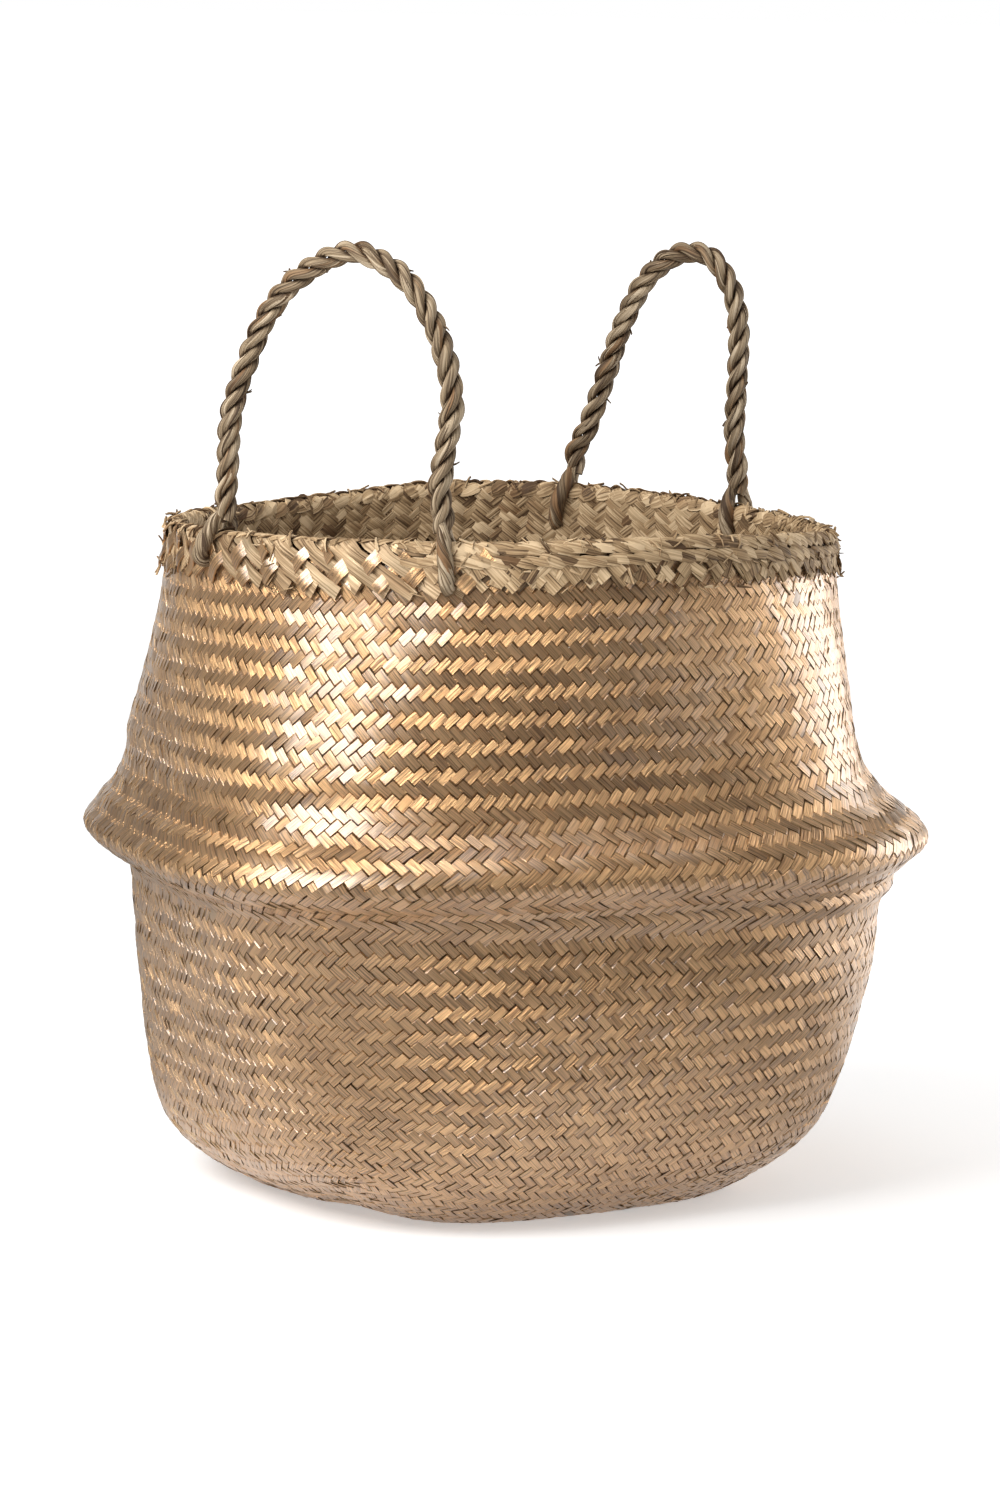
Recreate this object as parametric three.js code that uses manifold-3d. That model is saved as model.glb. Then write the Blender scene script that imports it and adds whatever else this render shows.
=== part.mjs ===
// Belly basket plaited from flat seagrass strands, with a turned-down raw border
// and two three-ply rope handles looped through the wall. Millimetres, +Z up,
// origin on the floor under the middle of the base, handles at front (-Y) and back (+Y).

import * as THREE from 'three';
import { mergeVertices } from 'three/addons/utils/BufferGeometryUtils.js';
import Module from 'manifold-3d';

const wasm = await Module();
wasm.setup();

// Driving sizes of the plaited body, measured on the outer face of the wall
const bodyHeight = 321;
const heelRadius = 109;
const turnUpHeight = 50;
const tuckRadius = 179;
const tuckHeight = 150;
const ridgeRadius = 201;
const ridgeHeight = 170;
const neckRadius = 174;
const neckHeight = 215;
const mouthRadius = 158.5;
const wallThickness = 2.4;
const baseThickness = 3;

// Sizes of the border that is folded over the mouth
const bandHeight = 24;
const bandThickness = 2;

// Sizes of the rope handles and of the eyes that hold them to the wall
const pliesPerRope = 3;
const plyRadius = 2.1;
const plyOffset = 2.9;
const ropePitch = 31;
const eyePlyRadius = 3;
const hingeAboveRimCentre = 17;
const frontHandle = { name: 'front', side: -1, halfSpan: 59, archHeight: 119 };
const backHandle = { name: 'back', side: 1, halfSpan: 46, archHeight: 102 };

// Clearances
const fitGap = 0.3;
const holeGap = 0.4;
const eyeGap = 0.6;
const cutOverrun = 5;

// Fineness of the faceted solids
const planSides = 48;
const turnUpLevels = 5;
const lowerWallLevels = 5;
const foldLevels = 9;
const upperWallLevels = 5;
const bandLevels = 2;
const stepsPerTurn = 8;
const plySides = 6;
const eyeSides = 6;
const eyeBendSteps = 3;
const braidSides = 8;
const holeSides = 12;
const ballSides = 24;
const outlineSearchSteps = 40;

// How far the plan of the body swells to its four corners. It fades to round at the border
const bellySquarenessShare = 0.055;
const cornersInPlan = 4;

// Degrees that the corners are turned from the handles, at the floor and from the tuck up
const baseCornerTurn = 17;
const bellyCornerTurn = 5;

// Where the wall lies flatter than this share of upright, its level thickness grows no more
const leastClimbShare = 0.35;

// Outline of the wall. Each row gives the share of the way in radius and in height
const lowerOutlineShares = [
  [0, 0], [0.37, 0.1], [0.65, 0.23], [0.82, 0.43], [0.88, 0.63], [0.94, 0.87], [1, 1],
];
const underRidgeShares = [[0.66, 0.55], [1, 1]];
const overRidgeShares = [[0.2, 0.23], [0.6, 0.47], [0.9, 0.76], [1, 1]];
const upperOutlineShares = [[0.15, 0.1], [0.5, 0.38], [0.75, 0.68], [1, 1]];

// Centre line of each handle: shares of the half span sideways, and of the arch height above the hinge
const frontArchShares = [
  [-0.94, 0.17], [-0.91, 0.38], [-0.79, 0.57], [-0.56, 0.79], [-0.26, 0.92], [0.19, 1],
  [0.48, 0.97], [0.75, 0.88], [0.95, 0.74], [1.11, 0.5], [1.06, 0.27], [1, 0.12],
];
const backArchShares = [
  [-0.81, 0.13], [-0.66, 0.31], [-0.45, 0.62], [-0.16, 0.85], [0.13, 0.96], [0.42, 1],
  [0.7, 0.98], [0.95, 0.84], [1.05, 0.64], [1.02, 0.3], [1, 0.1],
];

// Sizes worked out from the ones above
const rimThickness = wallThickness + 2 * (bandThickness + fitGap);
const braidRadius = rimThickness / 2;
const rimCentreHeight = bodyHeight - braidRadius;
const wallTop = rimCentreHeight - braidRadius - fitGap;
const bandBottom = wallTop - bandHeight;
const rimCentreRadius = mouthRadius - wallThickness / 2;
const eyeHalfWidth = braidRadius + eyeGap + eyePlyRadius;
const eyeTop = rimCentreHeight + eyeHalfWidth + eyePlyRadius;
const hingeHeight = rimCentreHeight + hingeAboveRimCentre;
const footRadius = hingeHeight - eyeTop - fitGap;
const eyeBendRadius = eyePlyRadius + fitGap;
const eyeHoleHeight = bandBottom - eyeBendRadius;

// Colours and finishes of the three materials
const goldPaint = { color: 0xb08a5c, roughness: 0.45, metalness: 0.35 };
const rawSeagrass = { color: 0xb0946a, roughness: 0.8, metalness: 0 };
const ropeSeagrass = { color: 0x9c8a70, roughness: 0.85, metalness: 0 };

/** Places each row of shares between a start and an end point of the outline. */
function outlinePoints(shares, start, end) {
  return shares.map(([radial, upward]) => new THREE.Vector2(
    THREE.MathUtils.lerp(start.x, end.x, radial),
    THREE.MathUtils.lerp(start.y, end.y, upward),
  ));
}

const heel = new THREE.Vector2(heelRadius, 0);
const tuck = new THREE.Vector2(tuckRadius, tuckHeight);
const ridge = new THREE.Vector2(ridgeRadius, ridgeHeight);
const neck = new THREE.Vector2(neckRadius, neckHeight);
const mouth = new THREE.Vector2(mouthRadius, wallTop);
const outline = new THREE.SplineCurve([
  ...outlinePoints(lowerOutlineShares, heel, tuck),
  ...outlinePoints(underRidgeShares, tuck, ridge),
  ...outlinePoints(overRidgeShares, ridge, neck),
  ...outlinePoints(upperOutlineShares, neck, mouth),
]);

/** Finds where along the outline the wall reaches a height. The outline only climbs. */
function outlineParameter(height) {
  let low = 0;
  let high = 1;
  for (let step = 0; step < outlineSearchSteps; step += 1) {
    const middle = (low + high) / 2;
    if (outline.getPoint(middle).y < height) {
      low = middle;
    } else {
      high = middle;
    }
  }
  return (low + high) / 2;
}

/** Outer radius of the wall at a height, moved outward by an offset square to the wall. */
function wallRadius(height, offset = 0) {
  const parameter = outlineParameter(height);
  const tangent = outline.getTangent(parameter);
  const radius = outline.getPoint(parameter).x;
  return radius + offset / Math.max(tangent.y, leastClimbShare);
}

/** Share by which the plan swells to its corners at a height. */
function squarenessAt(height) {
  const climb = THREE.MathUtils.clamp((height - neckHeight) / (bandBottom - neckHeight), 0, 1);
  return bellySquarenessShare * (1 - climb);
}

/** Angle by which the corners of the plan are turned from the handles at a height. */
function cornerTurnAt(height) {
  const climb = THREE.MathUtils.clamp(height / tuckHeight, 0, 1);
  return THREE.MathUtils.degToRad(THREE.MathUtils.lerp(baseCornerTurn, bellyCornerTurn, climb));
}

/** Factor on the radius of the plan in one direction: largest at the four corners. */
function planFactor(angle, height) {
  return 1 + squarenessAt(height) * Math.cos(cornersInPlan * (angle - cornerTurnAt(height)));
}

/** Leaves only the positions of a geometry and joins its equal vertices. */
function weld(geometry) {
  geometry.deleteAttribute('normal');
  geometry.deleteAttribute('uv');
  return mergeVertices(geometry);
}

/** Turns a section of radius and height points round the axis, on the rounded square plan. */
function turnedOnPlan(section) {
  const geometry = new THREE.LatheGeometry(section, planSides);
  geometry.rotateX(Math.PI / 2);
  const position = geometry.attributes.position;
  for (let index = 0; index < position.count; index += 1) {
    const x = position.getX(index);
    const y = position.getY(index);
    const z = position.getZ(index);
    const factor = planFactor(Math.atan2(y, x), z);
    position.setXYZ(index, x * factor, y * factor, z);
  }
  return weld(geometry);
}

/** Evenly spaced heights from a bottom to a top, both included. */
function levelsBetween(bottom, top, count) {
  return Array.from({ length: count + 1 }, (_, level) => THREE.MathUtils.lerp(bottom, top, level / count));
}

/** Ring of wall through a list of heights, between two offsets from the outer face. */
function wallRing(heights, outerOffset, innerOffset) {
  const outer = heights.map((height) => new THREE.Vector2(wallRadius(height, outerOffset), height));
  const inner = heights.map((height) => new THREE.Vector2(wallRadius(height, innerOffset), height));
  const section = [...outer, ...inner.reverse()];
  return turnedOnPlan([...section, section[0]]);
}

/** Loads a welded geometry as a solid for cutting. */
function toSolid(geometry) {
  return new wasm.Manifold(new wasm.Mesh({
    numProp: 3,
    vertProperties: new Float32Array(geometry.attributes.position.array),
    triVerts: new Uint32Array(geometry.index.array),
  }));
}

/** Turns a cut solid back into a geometry. */
function toGeometry(solid) {
  const mesh = solid.getMesh();
  const geometry = new THREE.BufferGeometry();
  geometry.setAttribute('position', new THREE.BufferAttribute(mesh.vertProperties, 3));
  geometry.setIndex(new THREE.BufferAttribute(mesh.triVerts, 1));
  return geometry;
}

const bandHeights = levelsBetween(bandBottom, wallTop, bandLevels);
const basket = new THREE.Group();

/** Adds one named piece with its own material to the basket. */
function addPiece(name, geometry, finish) {
  const mesh = new THREE.Mesh(geometry, new THREE.MeshStandardMaterial(finish));
  mesh.name = name;
  basket.add(mesh);
}

/** Flat panel that the basket stands on, inside the heel of the lower wall. */
function basePanel() {
  const edge = wallRadius(0, -wallThickness) - fitGap;
  return turnedOnPlan([
    new THREE.Vector2(0, 0),
    new THREE.Vector2(edge, 0),
    new THREE.Vector2(edge, baseThickness),
    new THREE.Vector2(0, baseThickness),
  ]);
}

/** Edge braid along the top of the border: a round cord all the way round the mouth. */
function rimBraid() {
  const section = [];
  for (let side = 0; side <= braidSides; side += 1) {
    const angle = (2 * Math.PI * side) / braidSides;
    section.push(new THREE.Vector2(
      rimCentreRadius + braidRadius * Math.cos(angle),
      rimCentreHeight + braidRadius * Math.sin(angle),
    ));
  }
  return turnedOnPlan(section);
}

/** Factor that brings a radius in to the flat sides of the faceted plan. */
function flatFactor(angle) {
  const side = (2 * Math.PI) / planSides;
  const fromCorner = THREE.MathUtils.euclideanModulo(angle, side);
  return Math.cos(side / 2) / Math.cos(fromCorner - side / 2);
}

/** Where a handle's foot stands over the middle of the border, at the hinge's height. */
function footPoint(handle, end) {
  const angle = Math.asin(handle.halfSpan / rimCentreRadius);
  const bearing = Math.PI / 2 + angle;
  const radius = rimCentreRadius * flatFactor(bearing);
  return new THREE.Vector3(
    end * radius * Math.sin(angle),
    handle.side * radius * Math.cos(angle),
    hingeHeight,
  );
}

/** How far the wall under the border stands out from the mouth at a height. */
function wallLean(height) {
  return wallRadius(Math.min(height, wallTop)) - wallRadius(wallTop);
}

/** Closed path of an eye in its own plane: x outward, y upward from the middle of the border. */
function eyePath() {
  const points = [];
  const topSteps = 2 * eyeBendSteps;
  for (let step = 0; step <= topSteps; step += 1) {
    const angle = (Math.PI * step) / topSteps;
    points.push([eyeHalfWidth * Math.cos(angle), eyeHalfWidth * Math.sin(angle)]);
  }
  const cornerX = eyeHalfWidth - eyeBendRadius;
  const cornerY = eyeHoleHeight + eyeBendRadius - rimCentreHeight;
  for (const [side, start] of [[-1, Math.PI], [1, Math.PI * 1.5]]) {
    for (let step = 0; step <= eyeBendSteps; step += 1) {
      const angle = start + (Math.PI / 2) * (step / eyeBendSteps);
      points.push([
        side * cornerX + eyeBendRadius * Math.cos(angle),
        cornerY + eyeBendRadius * Math.sin(angle),
      ]);
    }
  }
  return points.map(([x, y]) => [x + wallLean(rimCentreHeight + y), y]);
}

/** Closed tube round a closed flat path, with its section turned to halve each corner. */
function closedTube(path, radius, sides) {
  const count = path.length;
  const positions = [];
  const indices = [];
  path.forEach(([x, y], index) => {
    const [beforeX, beforeY] = path[(index + count - 1) % count];
    const [afterX, afterY] = path[(index + 1) % count];
    const along = new THREE.Vector2(afterX - beforeX, afterY - beforeY).normalize();
    for (let side = 0; side < sides; side += 1) {
      const angle = (2 * Math.PI * side) / sides;
      const outward = radius * Math.cos(angle);
      positions.push(x + along.y * outward, radius * Math.sin(angle), y - along.x * outward);
    }
  });
  for (let ring = 0; ring < count; ring += 1) {
    const next = (ring + 1) % count;
    for (let side = 0; side < sides; side += 1) {
      const turn = (side + 1) % sides;
      const a = ring * sides + side;
      const b = ring * sides + turn;
      const c = next * sides + turn;
      const d = next * sides + side;
      indices.push(a, b, c, a, c, d);
    }
  }
  const geometry = new THREE.BufferGeometry();
  geometry.setAttribute('position', new THREE.Float32BufferAttribute(positions, 3));
  geometry.setIndex(indices);
  return geometry;
}

/** Eye of one handle end: a single ply looped over the border and through the wall. */
function eyeLoop(foot) {
  const geometry = closedTube(eyePath(), eyePlyRadius, eyeSides);
  geometry.rotateZ(Math.atan2(foot.y, foot.x));
  geometry.translate(foot.x, foot.y, rimCentreHeight);
  return geometry;
}

/** Round cutter along the radius at a foot, at the height where the eye goes through the wall. */
function holeCutter(foot) {
  const length = 2 * (eyeHalfWidth + cutOverrun);
  const cutter = new THREE.CylinderGeometry(
    eyePlyRadius + holeGap,
    eyePlyRadius + holeGap,
    length,
    holeSides,
  );
  cutter.rotateZ(Math.PI / 2);
  cutter.rotateZ(Math.atan2(foot.y, foot.x));
  cutter.translate(foot.x, foot.y, eyeHoleHeight);
  return toSolid(weld(cutter));
}

/** Middle line of a handle's rope, flat in its upright plane. */
function archCurve(handle, shares) {
  const left = footPoint(handle, -1);
  const right = footPoint(handle, 1);
  const belowHinge = new THREE.Vector3(0, 0, -footRadius);
  const arch = shares.map(([sideways, upward]) => new THREE.Vector3(
    sideways * handle.halfSpan,
    left.y,
    hingeHeight + upward * handle.archHeight,
  ));
  return new THREE.CatmullRomCurve3([
    left.clone().add(belowHinge), left, ...arch, right, right.clone().add(belowHinge),
  ], false, 'centripetal');
}

/** One ply of a rope: a right-handed helix round the rope's middle line. */
class PlyCurve extends THREE.Curve {
  constructor(middle, phase) {
    super();
    this.middle = middle;
    this.phase = phase;
    this.turns = middle.getLength() / ropePitch;
  }

  getPoint(parameter, target = new THREE.Vector3()) {
    const centre = this.middle.getPointAt(parameter);
    const along = this.middle.getTangentAt(parameter);
    const across = new THREE.Vector3(0, 1, 0);
    const beside = new THREE.Vector3().crossVectors(along, across);
    const angle = 2 * Math.PI * this.turns * parameter + this.phase;
    return target.copy(centre)
      .addScaledVector(across, plyOffset * Math.cos(angle))
      .addScaledVector(beside, plyOffset * Math.sin(angle));
  }
}

/** Round outline of a ply's section. */
function plySection() {
  const section = new THREE.Shape();
  section.setFromPoints(Array.from({ length: plySides }, (_, side) => {
    const angle = (2 * Math.PI * side) / plySides;
    return new THREE.Vector2(plyRadius * Math.cos(angle), plyRadius * Math.sin(angle));
  }));
  return section;
}

/** What is trimmed off a rope's foot so that it ends in a ball round the hinge. */
function footTrimmer(foot) {
  const width = 2 * (plyOffset + plyRadius + cutOverrun);
  const depth = footRadius + cutOverrun;
  const block = new THREE.BoxGeometry(width, width, depth);
  block.translate(foot.x, foot.y, foot.z - depth / 2);
  const ball = new THREE.SphereGeometry(footRadius, ballSides, ballSides);
  ball.translate(foot.x, foot.y, foot.z);
  return toSolid(weld(block)).subtract(toSolid(weld(ball)));
}

/** One ply of a handle, trimmed at both feet. */
function ropePly(handle, middle, number) {
  const curve = new PlyCurve(middle, (2 * Math.PI * number) / pliesPerRope);
  const tube = new THREE.ExtrudeGeometry(plySection(), {
    extrudePath: curve,
    steps: Math.round(curve.turns * stepsPerTurn),
    bevelEnabled: false,
  });
  const trimmed = toSolid(weld(tube))
    .subtract(footTrimmer(footPoint(handle, -1)))
    .subtract(footTrimmer(footPoint(handle, 1)));
  return toGeometry(trimmed);
}

/** Wall between the belly fold and the border, with a hole for each eye. */
function upperWall() {
  const heights = [
    ...levelsBetween(neckHeight, bandBottom, upperWallLevels).slice(0, -1),
    ...bandHeights,
  ];
  let wall = toSolid(wallRing(heights, 0, -wallThickness));
  for (const handle of [frontHandle, backHandle]) {
    for (const end of [-1, 1]) {
      wall = wall.subtract(holeCutter(footPoint(handle, end)));
    }
  }
  return toGeometry(wall);
}

/** The five zones of the plaited body. */
function addBody() {
  const turnUpHeights = levelsBetween(0, turnUpHeight - fitGap, turnUpLevels);
  const lowerHeights = levelsBetween(turnUpHeight, tuckHeight - fitGap, lowerWallLevels);
  const foldHeights = levelsBetween(tuckHeight, neckHeight - fitGap, foldLevels);
  addPiece('base_panel', basePanel(), goldPaint);
  addPiece('bottom_turn', wallRing(turnUpHeights, 0, -wallThickness), goldPaint);
  addPiece('lower_wall', wallRing(lowerHeights, 0, -wallThickness), goldPaint);
  addPiece('belly_fold', wallRing(foldHeights, 0, -wallThickness), goldPaint);
  addPiece('upper_wall', upperWall(), goldPaint);
}

/** The raw border: a band down the outer face, one down the inner face, and the edge braid. */
function addBorder() {
  const outerFace = fitGap + bandThickness;
  const innerFace = -wallThickness - fitGap;
  const innerBand = wallRing(bandHeights, innerFace, innerFace - bandThickness);
  addPiece('rim_outer_band', wallRing(bandHeights, outerFace, fitGap), rawSeagrass);
  addPiece('rim_inner_band', innerBand, rawSeagrass);
  addPiece('rim_braid', rimBraid(), rawSeagrass);
}

/** A handle: two eyes in the border and three plies laid up as a rope. */
function addHandle(handle, shares) {
  addPiece(`${handle.name}_left_eye`, eyeLoop(footPoint(handle, -1)), ropeSeagrass);
  addPiece(`${handle.name}_right_eye`, eyeLoop(footPoint(handle, 1)), ropeSeagrass);
  const middle = archCurve(handle, shares);
  for (let number = 0; number < pliesPerRope; number += 1) {
    addPiece(`${handle.name}_rope_ply_${number + 1}`, ropePly(handle, middle, number), ropeSeagrass);
  }
}

addBody();
addBorder();
addHandle(frontHandle, frontArchShares);
addHandle(backHandle, backArchShares);

export default basket;
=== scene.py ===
"""Plaited belly basket: gold-painted seagrass body, raw turned-down border and two rope handles."""

from __future__ import annotations

import logging
import math
from dataclasses import dataclass, field
from enum import Enum

import bpy
import numpy as np
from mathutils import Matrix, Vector


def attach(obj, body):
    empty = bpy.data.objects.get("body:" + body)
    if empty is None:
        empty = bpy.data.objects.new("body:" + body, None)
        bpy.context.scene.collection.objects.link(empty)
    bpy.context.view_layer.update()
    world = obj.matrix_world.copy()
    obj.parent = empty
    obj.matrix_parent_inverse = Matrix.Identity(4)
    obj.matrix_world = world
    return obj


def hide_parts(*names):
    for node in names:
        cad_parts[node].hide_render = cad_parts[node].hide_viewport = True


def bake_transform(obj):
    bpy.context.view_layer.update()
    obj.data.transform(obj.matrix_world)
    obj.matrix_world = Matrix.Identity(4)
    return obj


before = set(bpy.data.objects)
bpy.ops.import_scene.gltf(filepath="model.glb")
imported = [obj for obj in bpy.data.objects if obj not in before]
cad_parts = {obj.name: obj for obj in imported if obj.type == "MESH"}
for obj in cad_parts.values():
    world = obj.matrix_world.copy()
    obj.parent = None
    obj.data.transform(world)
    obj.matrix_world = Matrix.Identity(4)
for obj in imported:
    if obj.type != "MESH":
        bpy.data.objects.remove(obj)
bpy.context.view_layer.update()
LOG = logging.getLogger("basket")
MM = 0.001
# Painted shade: the lower corners of a strand's section, darkened so that the gaps between strands look
# shaded.
SHADED_UNDER_SIDE = np.array([0.0, 0.0, 0.0, 1.0, 1.0])
ACROSS_ROPE = np.array([0.0, 1.0, 0.0])

Colour = tuple[float, float, float]
Pair = tuple[float, float]
Piece = bpy.types.Object
Material = bpy.types.Material
Socket = bpy.types.NodeSocket
Tree = bpy.types.NodeTree


class Finish(Enum):
    """The basket's three finishes."""

    PAINTED = "gold_weave"
    RAW = "raw_seagrass"
    ROPE = "seagrass_rope"


# Meshes


@dataclass
class Sweep:
    """Closed strips or tubes gathered for one mesh: rings of points joined along a path."""

    points: list[np.ndarray] = field(default_factory=list)
    quads: list[np.ndarray] = field(default_factory=list)
    caps: list[np.ndarray] = field(default_factory=list)
    quad_uv: list[np.ndarray] = field(default_factory=list)
    cap_uv: list[np.ndarray] = field(default_factory=list)
    quad_slot: list[np.ndarray] = field(default_factory=list)
    tone: list[np.ndarray] = field(default_factory=list)
    bare: list[np.ndarray] = field(default_factory=list)
    count: int = 0

    def add(
        self,
        rings: np.ndarray,
        along: np.ndarray,
        across: np.ndarray,
        tone: np.ndarray,
        bare: np.ndarray | None = None,
        raw_sides: tuple[int, ...] = (),
    ) -> None:
        """Adds one closed strip.

        Each ring's points are joined to the next ring's by quads, in the order that
        turns their faces outward, and the first and last ring are closed by a face.

        Args:
            rings: points as steps x section x 3, counter-clockwise seen from the end.
            along: length from the start at each step, in metres.
            across: length round the section at each of its points, plus the closing one.
            tone: colour shift at each step, or at each point: random tone about -1 to 1, less any
                painted shade of gaps and crevices.
            bare: share of missing paint at each step.
            raw_sides: faces of the section that take the second material.
        """
        steps, section = rings.shape[:2]
        base = self.count + np.arange(steps - 1)[:, None] * section
        side = np.arange(section)[None, :]
        turn = (side + 1) % section
        quads = [base + side, base + turn, base + section + turn, base + section + side]
        self.points.append(rings.reshape(-1, 3))
        self.quads.append(np.stack(quads, axis=-1).reshape(-1, 4))
        u0 = np.broadcast_to(along[:-1, None], (steps - 1, section))
        u1 = np.broadcast_to(along[1:, None], (steps - 1, section))
        v0 = np.broadcast_to(across[None, :-1], (steps - 1, section))
        v1 = np.broadcast_to(across[None, 1:], (steps - 1, section))
        uv = np.stack([u0, v0, u0, v1, u1, v1, u1, v0], axis=-1)
        self.quad_uv.append(uv.reshape(-1, 4, 2))
        slots = np.zeros((steps - 1, section), dtype=np.int32)
        slots[:, list(raw_sides)] = 1
        self.quad_slot.append(slots.ravel())
        first = self.count + np.arange(section)[::-1]
        last = self.count + (steps - 1) * section + np.arange(section)
        self.caps.append(np.stack([first, last]))
        ends = np.stack([np.full(section, along[0]), across[:-1]], axis=-1)
        self.cap_uv.append(np.stack([ends[::-1], ends + [along[-1] - along[0], 0.0]]))
        self.tone.append(np.broadcast_to(tone.reshape(steps, -1), (steps, section)).ravel())
        self.bare.append(np.repeat(np.zeros(steps) if bare is None else bare, section))
        self.count += steps * section

    def build(self, name: str, materials: list[Material], sharp: float) -> Piece:
        """Makes the mesh object.

        Args:
            name: object's name.
            materials: first and second material.
            sharp: angle in degrees over which an edge is left sharp.

        Returns:
            The new object, at the origin.
        """
        points = np.concatenate(self.points)
        quads = np.concatenate(self.quads)
        caps = np.concatenate(self.caps)
        sizes = np.repeat([4, caps.shape[1]], [len(quads), len(caps)]).astype(np.int32)
        corners = np.concatenate([quads.ravel(), caps.ravel()]).astype(np.int32)
        mesh = bpy.data.meshes.new(name)
        mesh.vertices.add(len(points))
        mesh.vertices.foreach_set("co", points.astype(np.float32).ravel())
        mesh.loops.add(len(corners))
        mesh.loops.foreach_set("vertex_index", corners)
        mesh.polygons.add(len(sizes))
        starts = np.concatenate([[0], np.cumsum(sizes)[:-1]]).astype(np.int32)
        mesh.polygons.foreach_set("loop_start", starts)
        mesh.polygons.foreach_set("loop_total", sizes)
        slots = np.concatenate([*self.quad_slot, np.zeros(len(caps), dtype=np.int32)])
        mesh.polygons.foreach_set("material_index", slots)
        mesh.update(calc_edges=True)
        parts = (self.quad_uv, self.cap_uv)
        uv = np.concatenate([np.concatenate(part).reshape(-1, 2) for part in parts])
        layer = mesh.uv_layers.new(name="fibre")
        layer.data.foreach_set("uv", uv.astype(np.float32).ravel())
        for label, values in (("tone", self.tone), ("bare", self.bare)):
            attribute = mesh.attributes.new(label, "FLOAT", "POINT")
            attribute.data.foreach_set("value", np.concatenate(values).astype(np.float32))
        mesh.shade_smooth()
        mesh.set_sharp_from_angle(angle=math.radians(sharp))
        for material in materials:
            mesh.materials.append(material)
        made = bpy.data.objects.new(name, mesh)
        bpy.context.scene.collection.objects.link(made)
        return made


def catmull_rom(points: np.ndarray, per_span: int, power: float) -> np.ndarray:
    """Smooth curve through points.

    Each span is the cubic that passes its two ends with slopes taken from the points
    on either side. The spans' lengths count with a power: 0 for even, 0.5 for centripetal.

    Args:
        points: points x dimensions.
        per_span: steps in each span.
        power: power of the distance between neighbours.

    Returns:
        The curve's points, ends included.
    """
    first = points[0] if power == 0 else 2 * points[0] - points[1]
    last = points[-1] if power == 0 else 2 * points[-1] - points[-2]
    whole = np.vstack([first, points, last])
    p0, p1, p2, p3 = whole[:-3], whole[1:-2], whole[2:-1], whole[3:]
    gaps = np.linalg.norm(np.diff(whole, axis=0), axis=1)
    spans = np.where(gaps < 1e-9, 1.0, gaps) ** power
    d0, d1, d2 = spans[:-2, None], spans[1:-1, None], spans[2:, None]
    if power == 0:
        slope1, slope2 = (p2 - p0) / 2, (p3 - p1) / 2
    else:
        slope1 = d1 * ((p1 - p0) / d0 - (p2 - p0) / (d0 + d1) + (p2 - p1) / d1)
        slope2 = d1 * ((p2 - p1) / d1 - (p3 - p1) / (d1 + d2) + (p3 - p2) / d2)
    t = (np.arange(per_span) / per_span)[None, :, None]
    p1, p2, slope1, slope2 = (a[:, None, :] for a in (p1, p2, slope1, slope2))
    curve = (
        p1
        + slope1 * t
        + (3 * (p2 - p1) - 2 * slope1 - slope2) * t**2
        + (2 * (p1 - p2) + slope1 + slope2) * t**3
    )
    return np.vstack([curve.reshape(-1, points.shape[1]), points[-1]])


def even_lengths(curve: np.ndarray, step: float) -> tuple[np.ndarray, np.ndarray]:
    """Spreads a curve's points evenly.

    Args:
        curve: points x dimensions.
        step: wanted distance between points.

    Returns:
        The new points, and the length from the start at each.
    """
    lengths = path_lengths(curve)
    count = max(4, round(lengths[-1] / step))
    wanted = np.linspace(0, lengths[-1], count + 1)
    return np.stack([np.interp(wanted, lengths, column) for column in curve.T], axis=1), wanted


def path_lengths(path: np.ndarray) -> np.ndarray:
    """Length from the start at each point of a path: the running sum of its steps."""
    return np.concatenate([[0], np.cumsum(np.linalg.norm(np.diff(path, axis=0), axis=1))])


def strip_lengths(wide: float, thick: float) -> np.ndarray:
    """Length round a flat strand's section, which has three points above and two below.

    Args:
        wide: width of the section.
        thick: its thickness.

    Returns:
        The length at each point, and back at the first one.
    """
    return np.array([0, wide / 2, wide, wide + thick, 2 * wide + thick, 2 * (wide + thick)])


def smooth_noise(rng: np.random.Generator, size: int, every: float) -> np.ndarray:
    """Random values from -1 to 1 that change slowly.

    Args:
        rng: seeded source.
        size: how many values.
        every: steps between two independent values.

    Returns:
        The values.
    """
    knots = rng.uniform(-1, 1, int(size / every) + 3)
    return np.interp(np.arange(size) / every + rng.uniform(0, 1), np.arange(len(knots)), knots)


def smooth_step(x: np.ndarray | float) -> np.ndarray:
    """Rises from 0 to 1 with level ends: 3 x squared less 2 x cubed, x held within 0 to 1."""
    held = np.clip(x, 0, 1)
    return held * held * (3 - 2 * held)


# Form of the body


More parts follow.
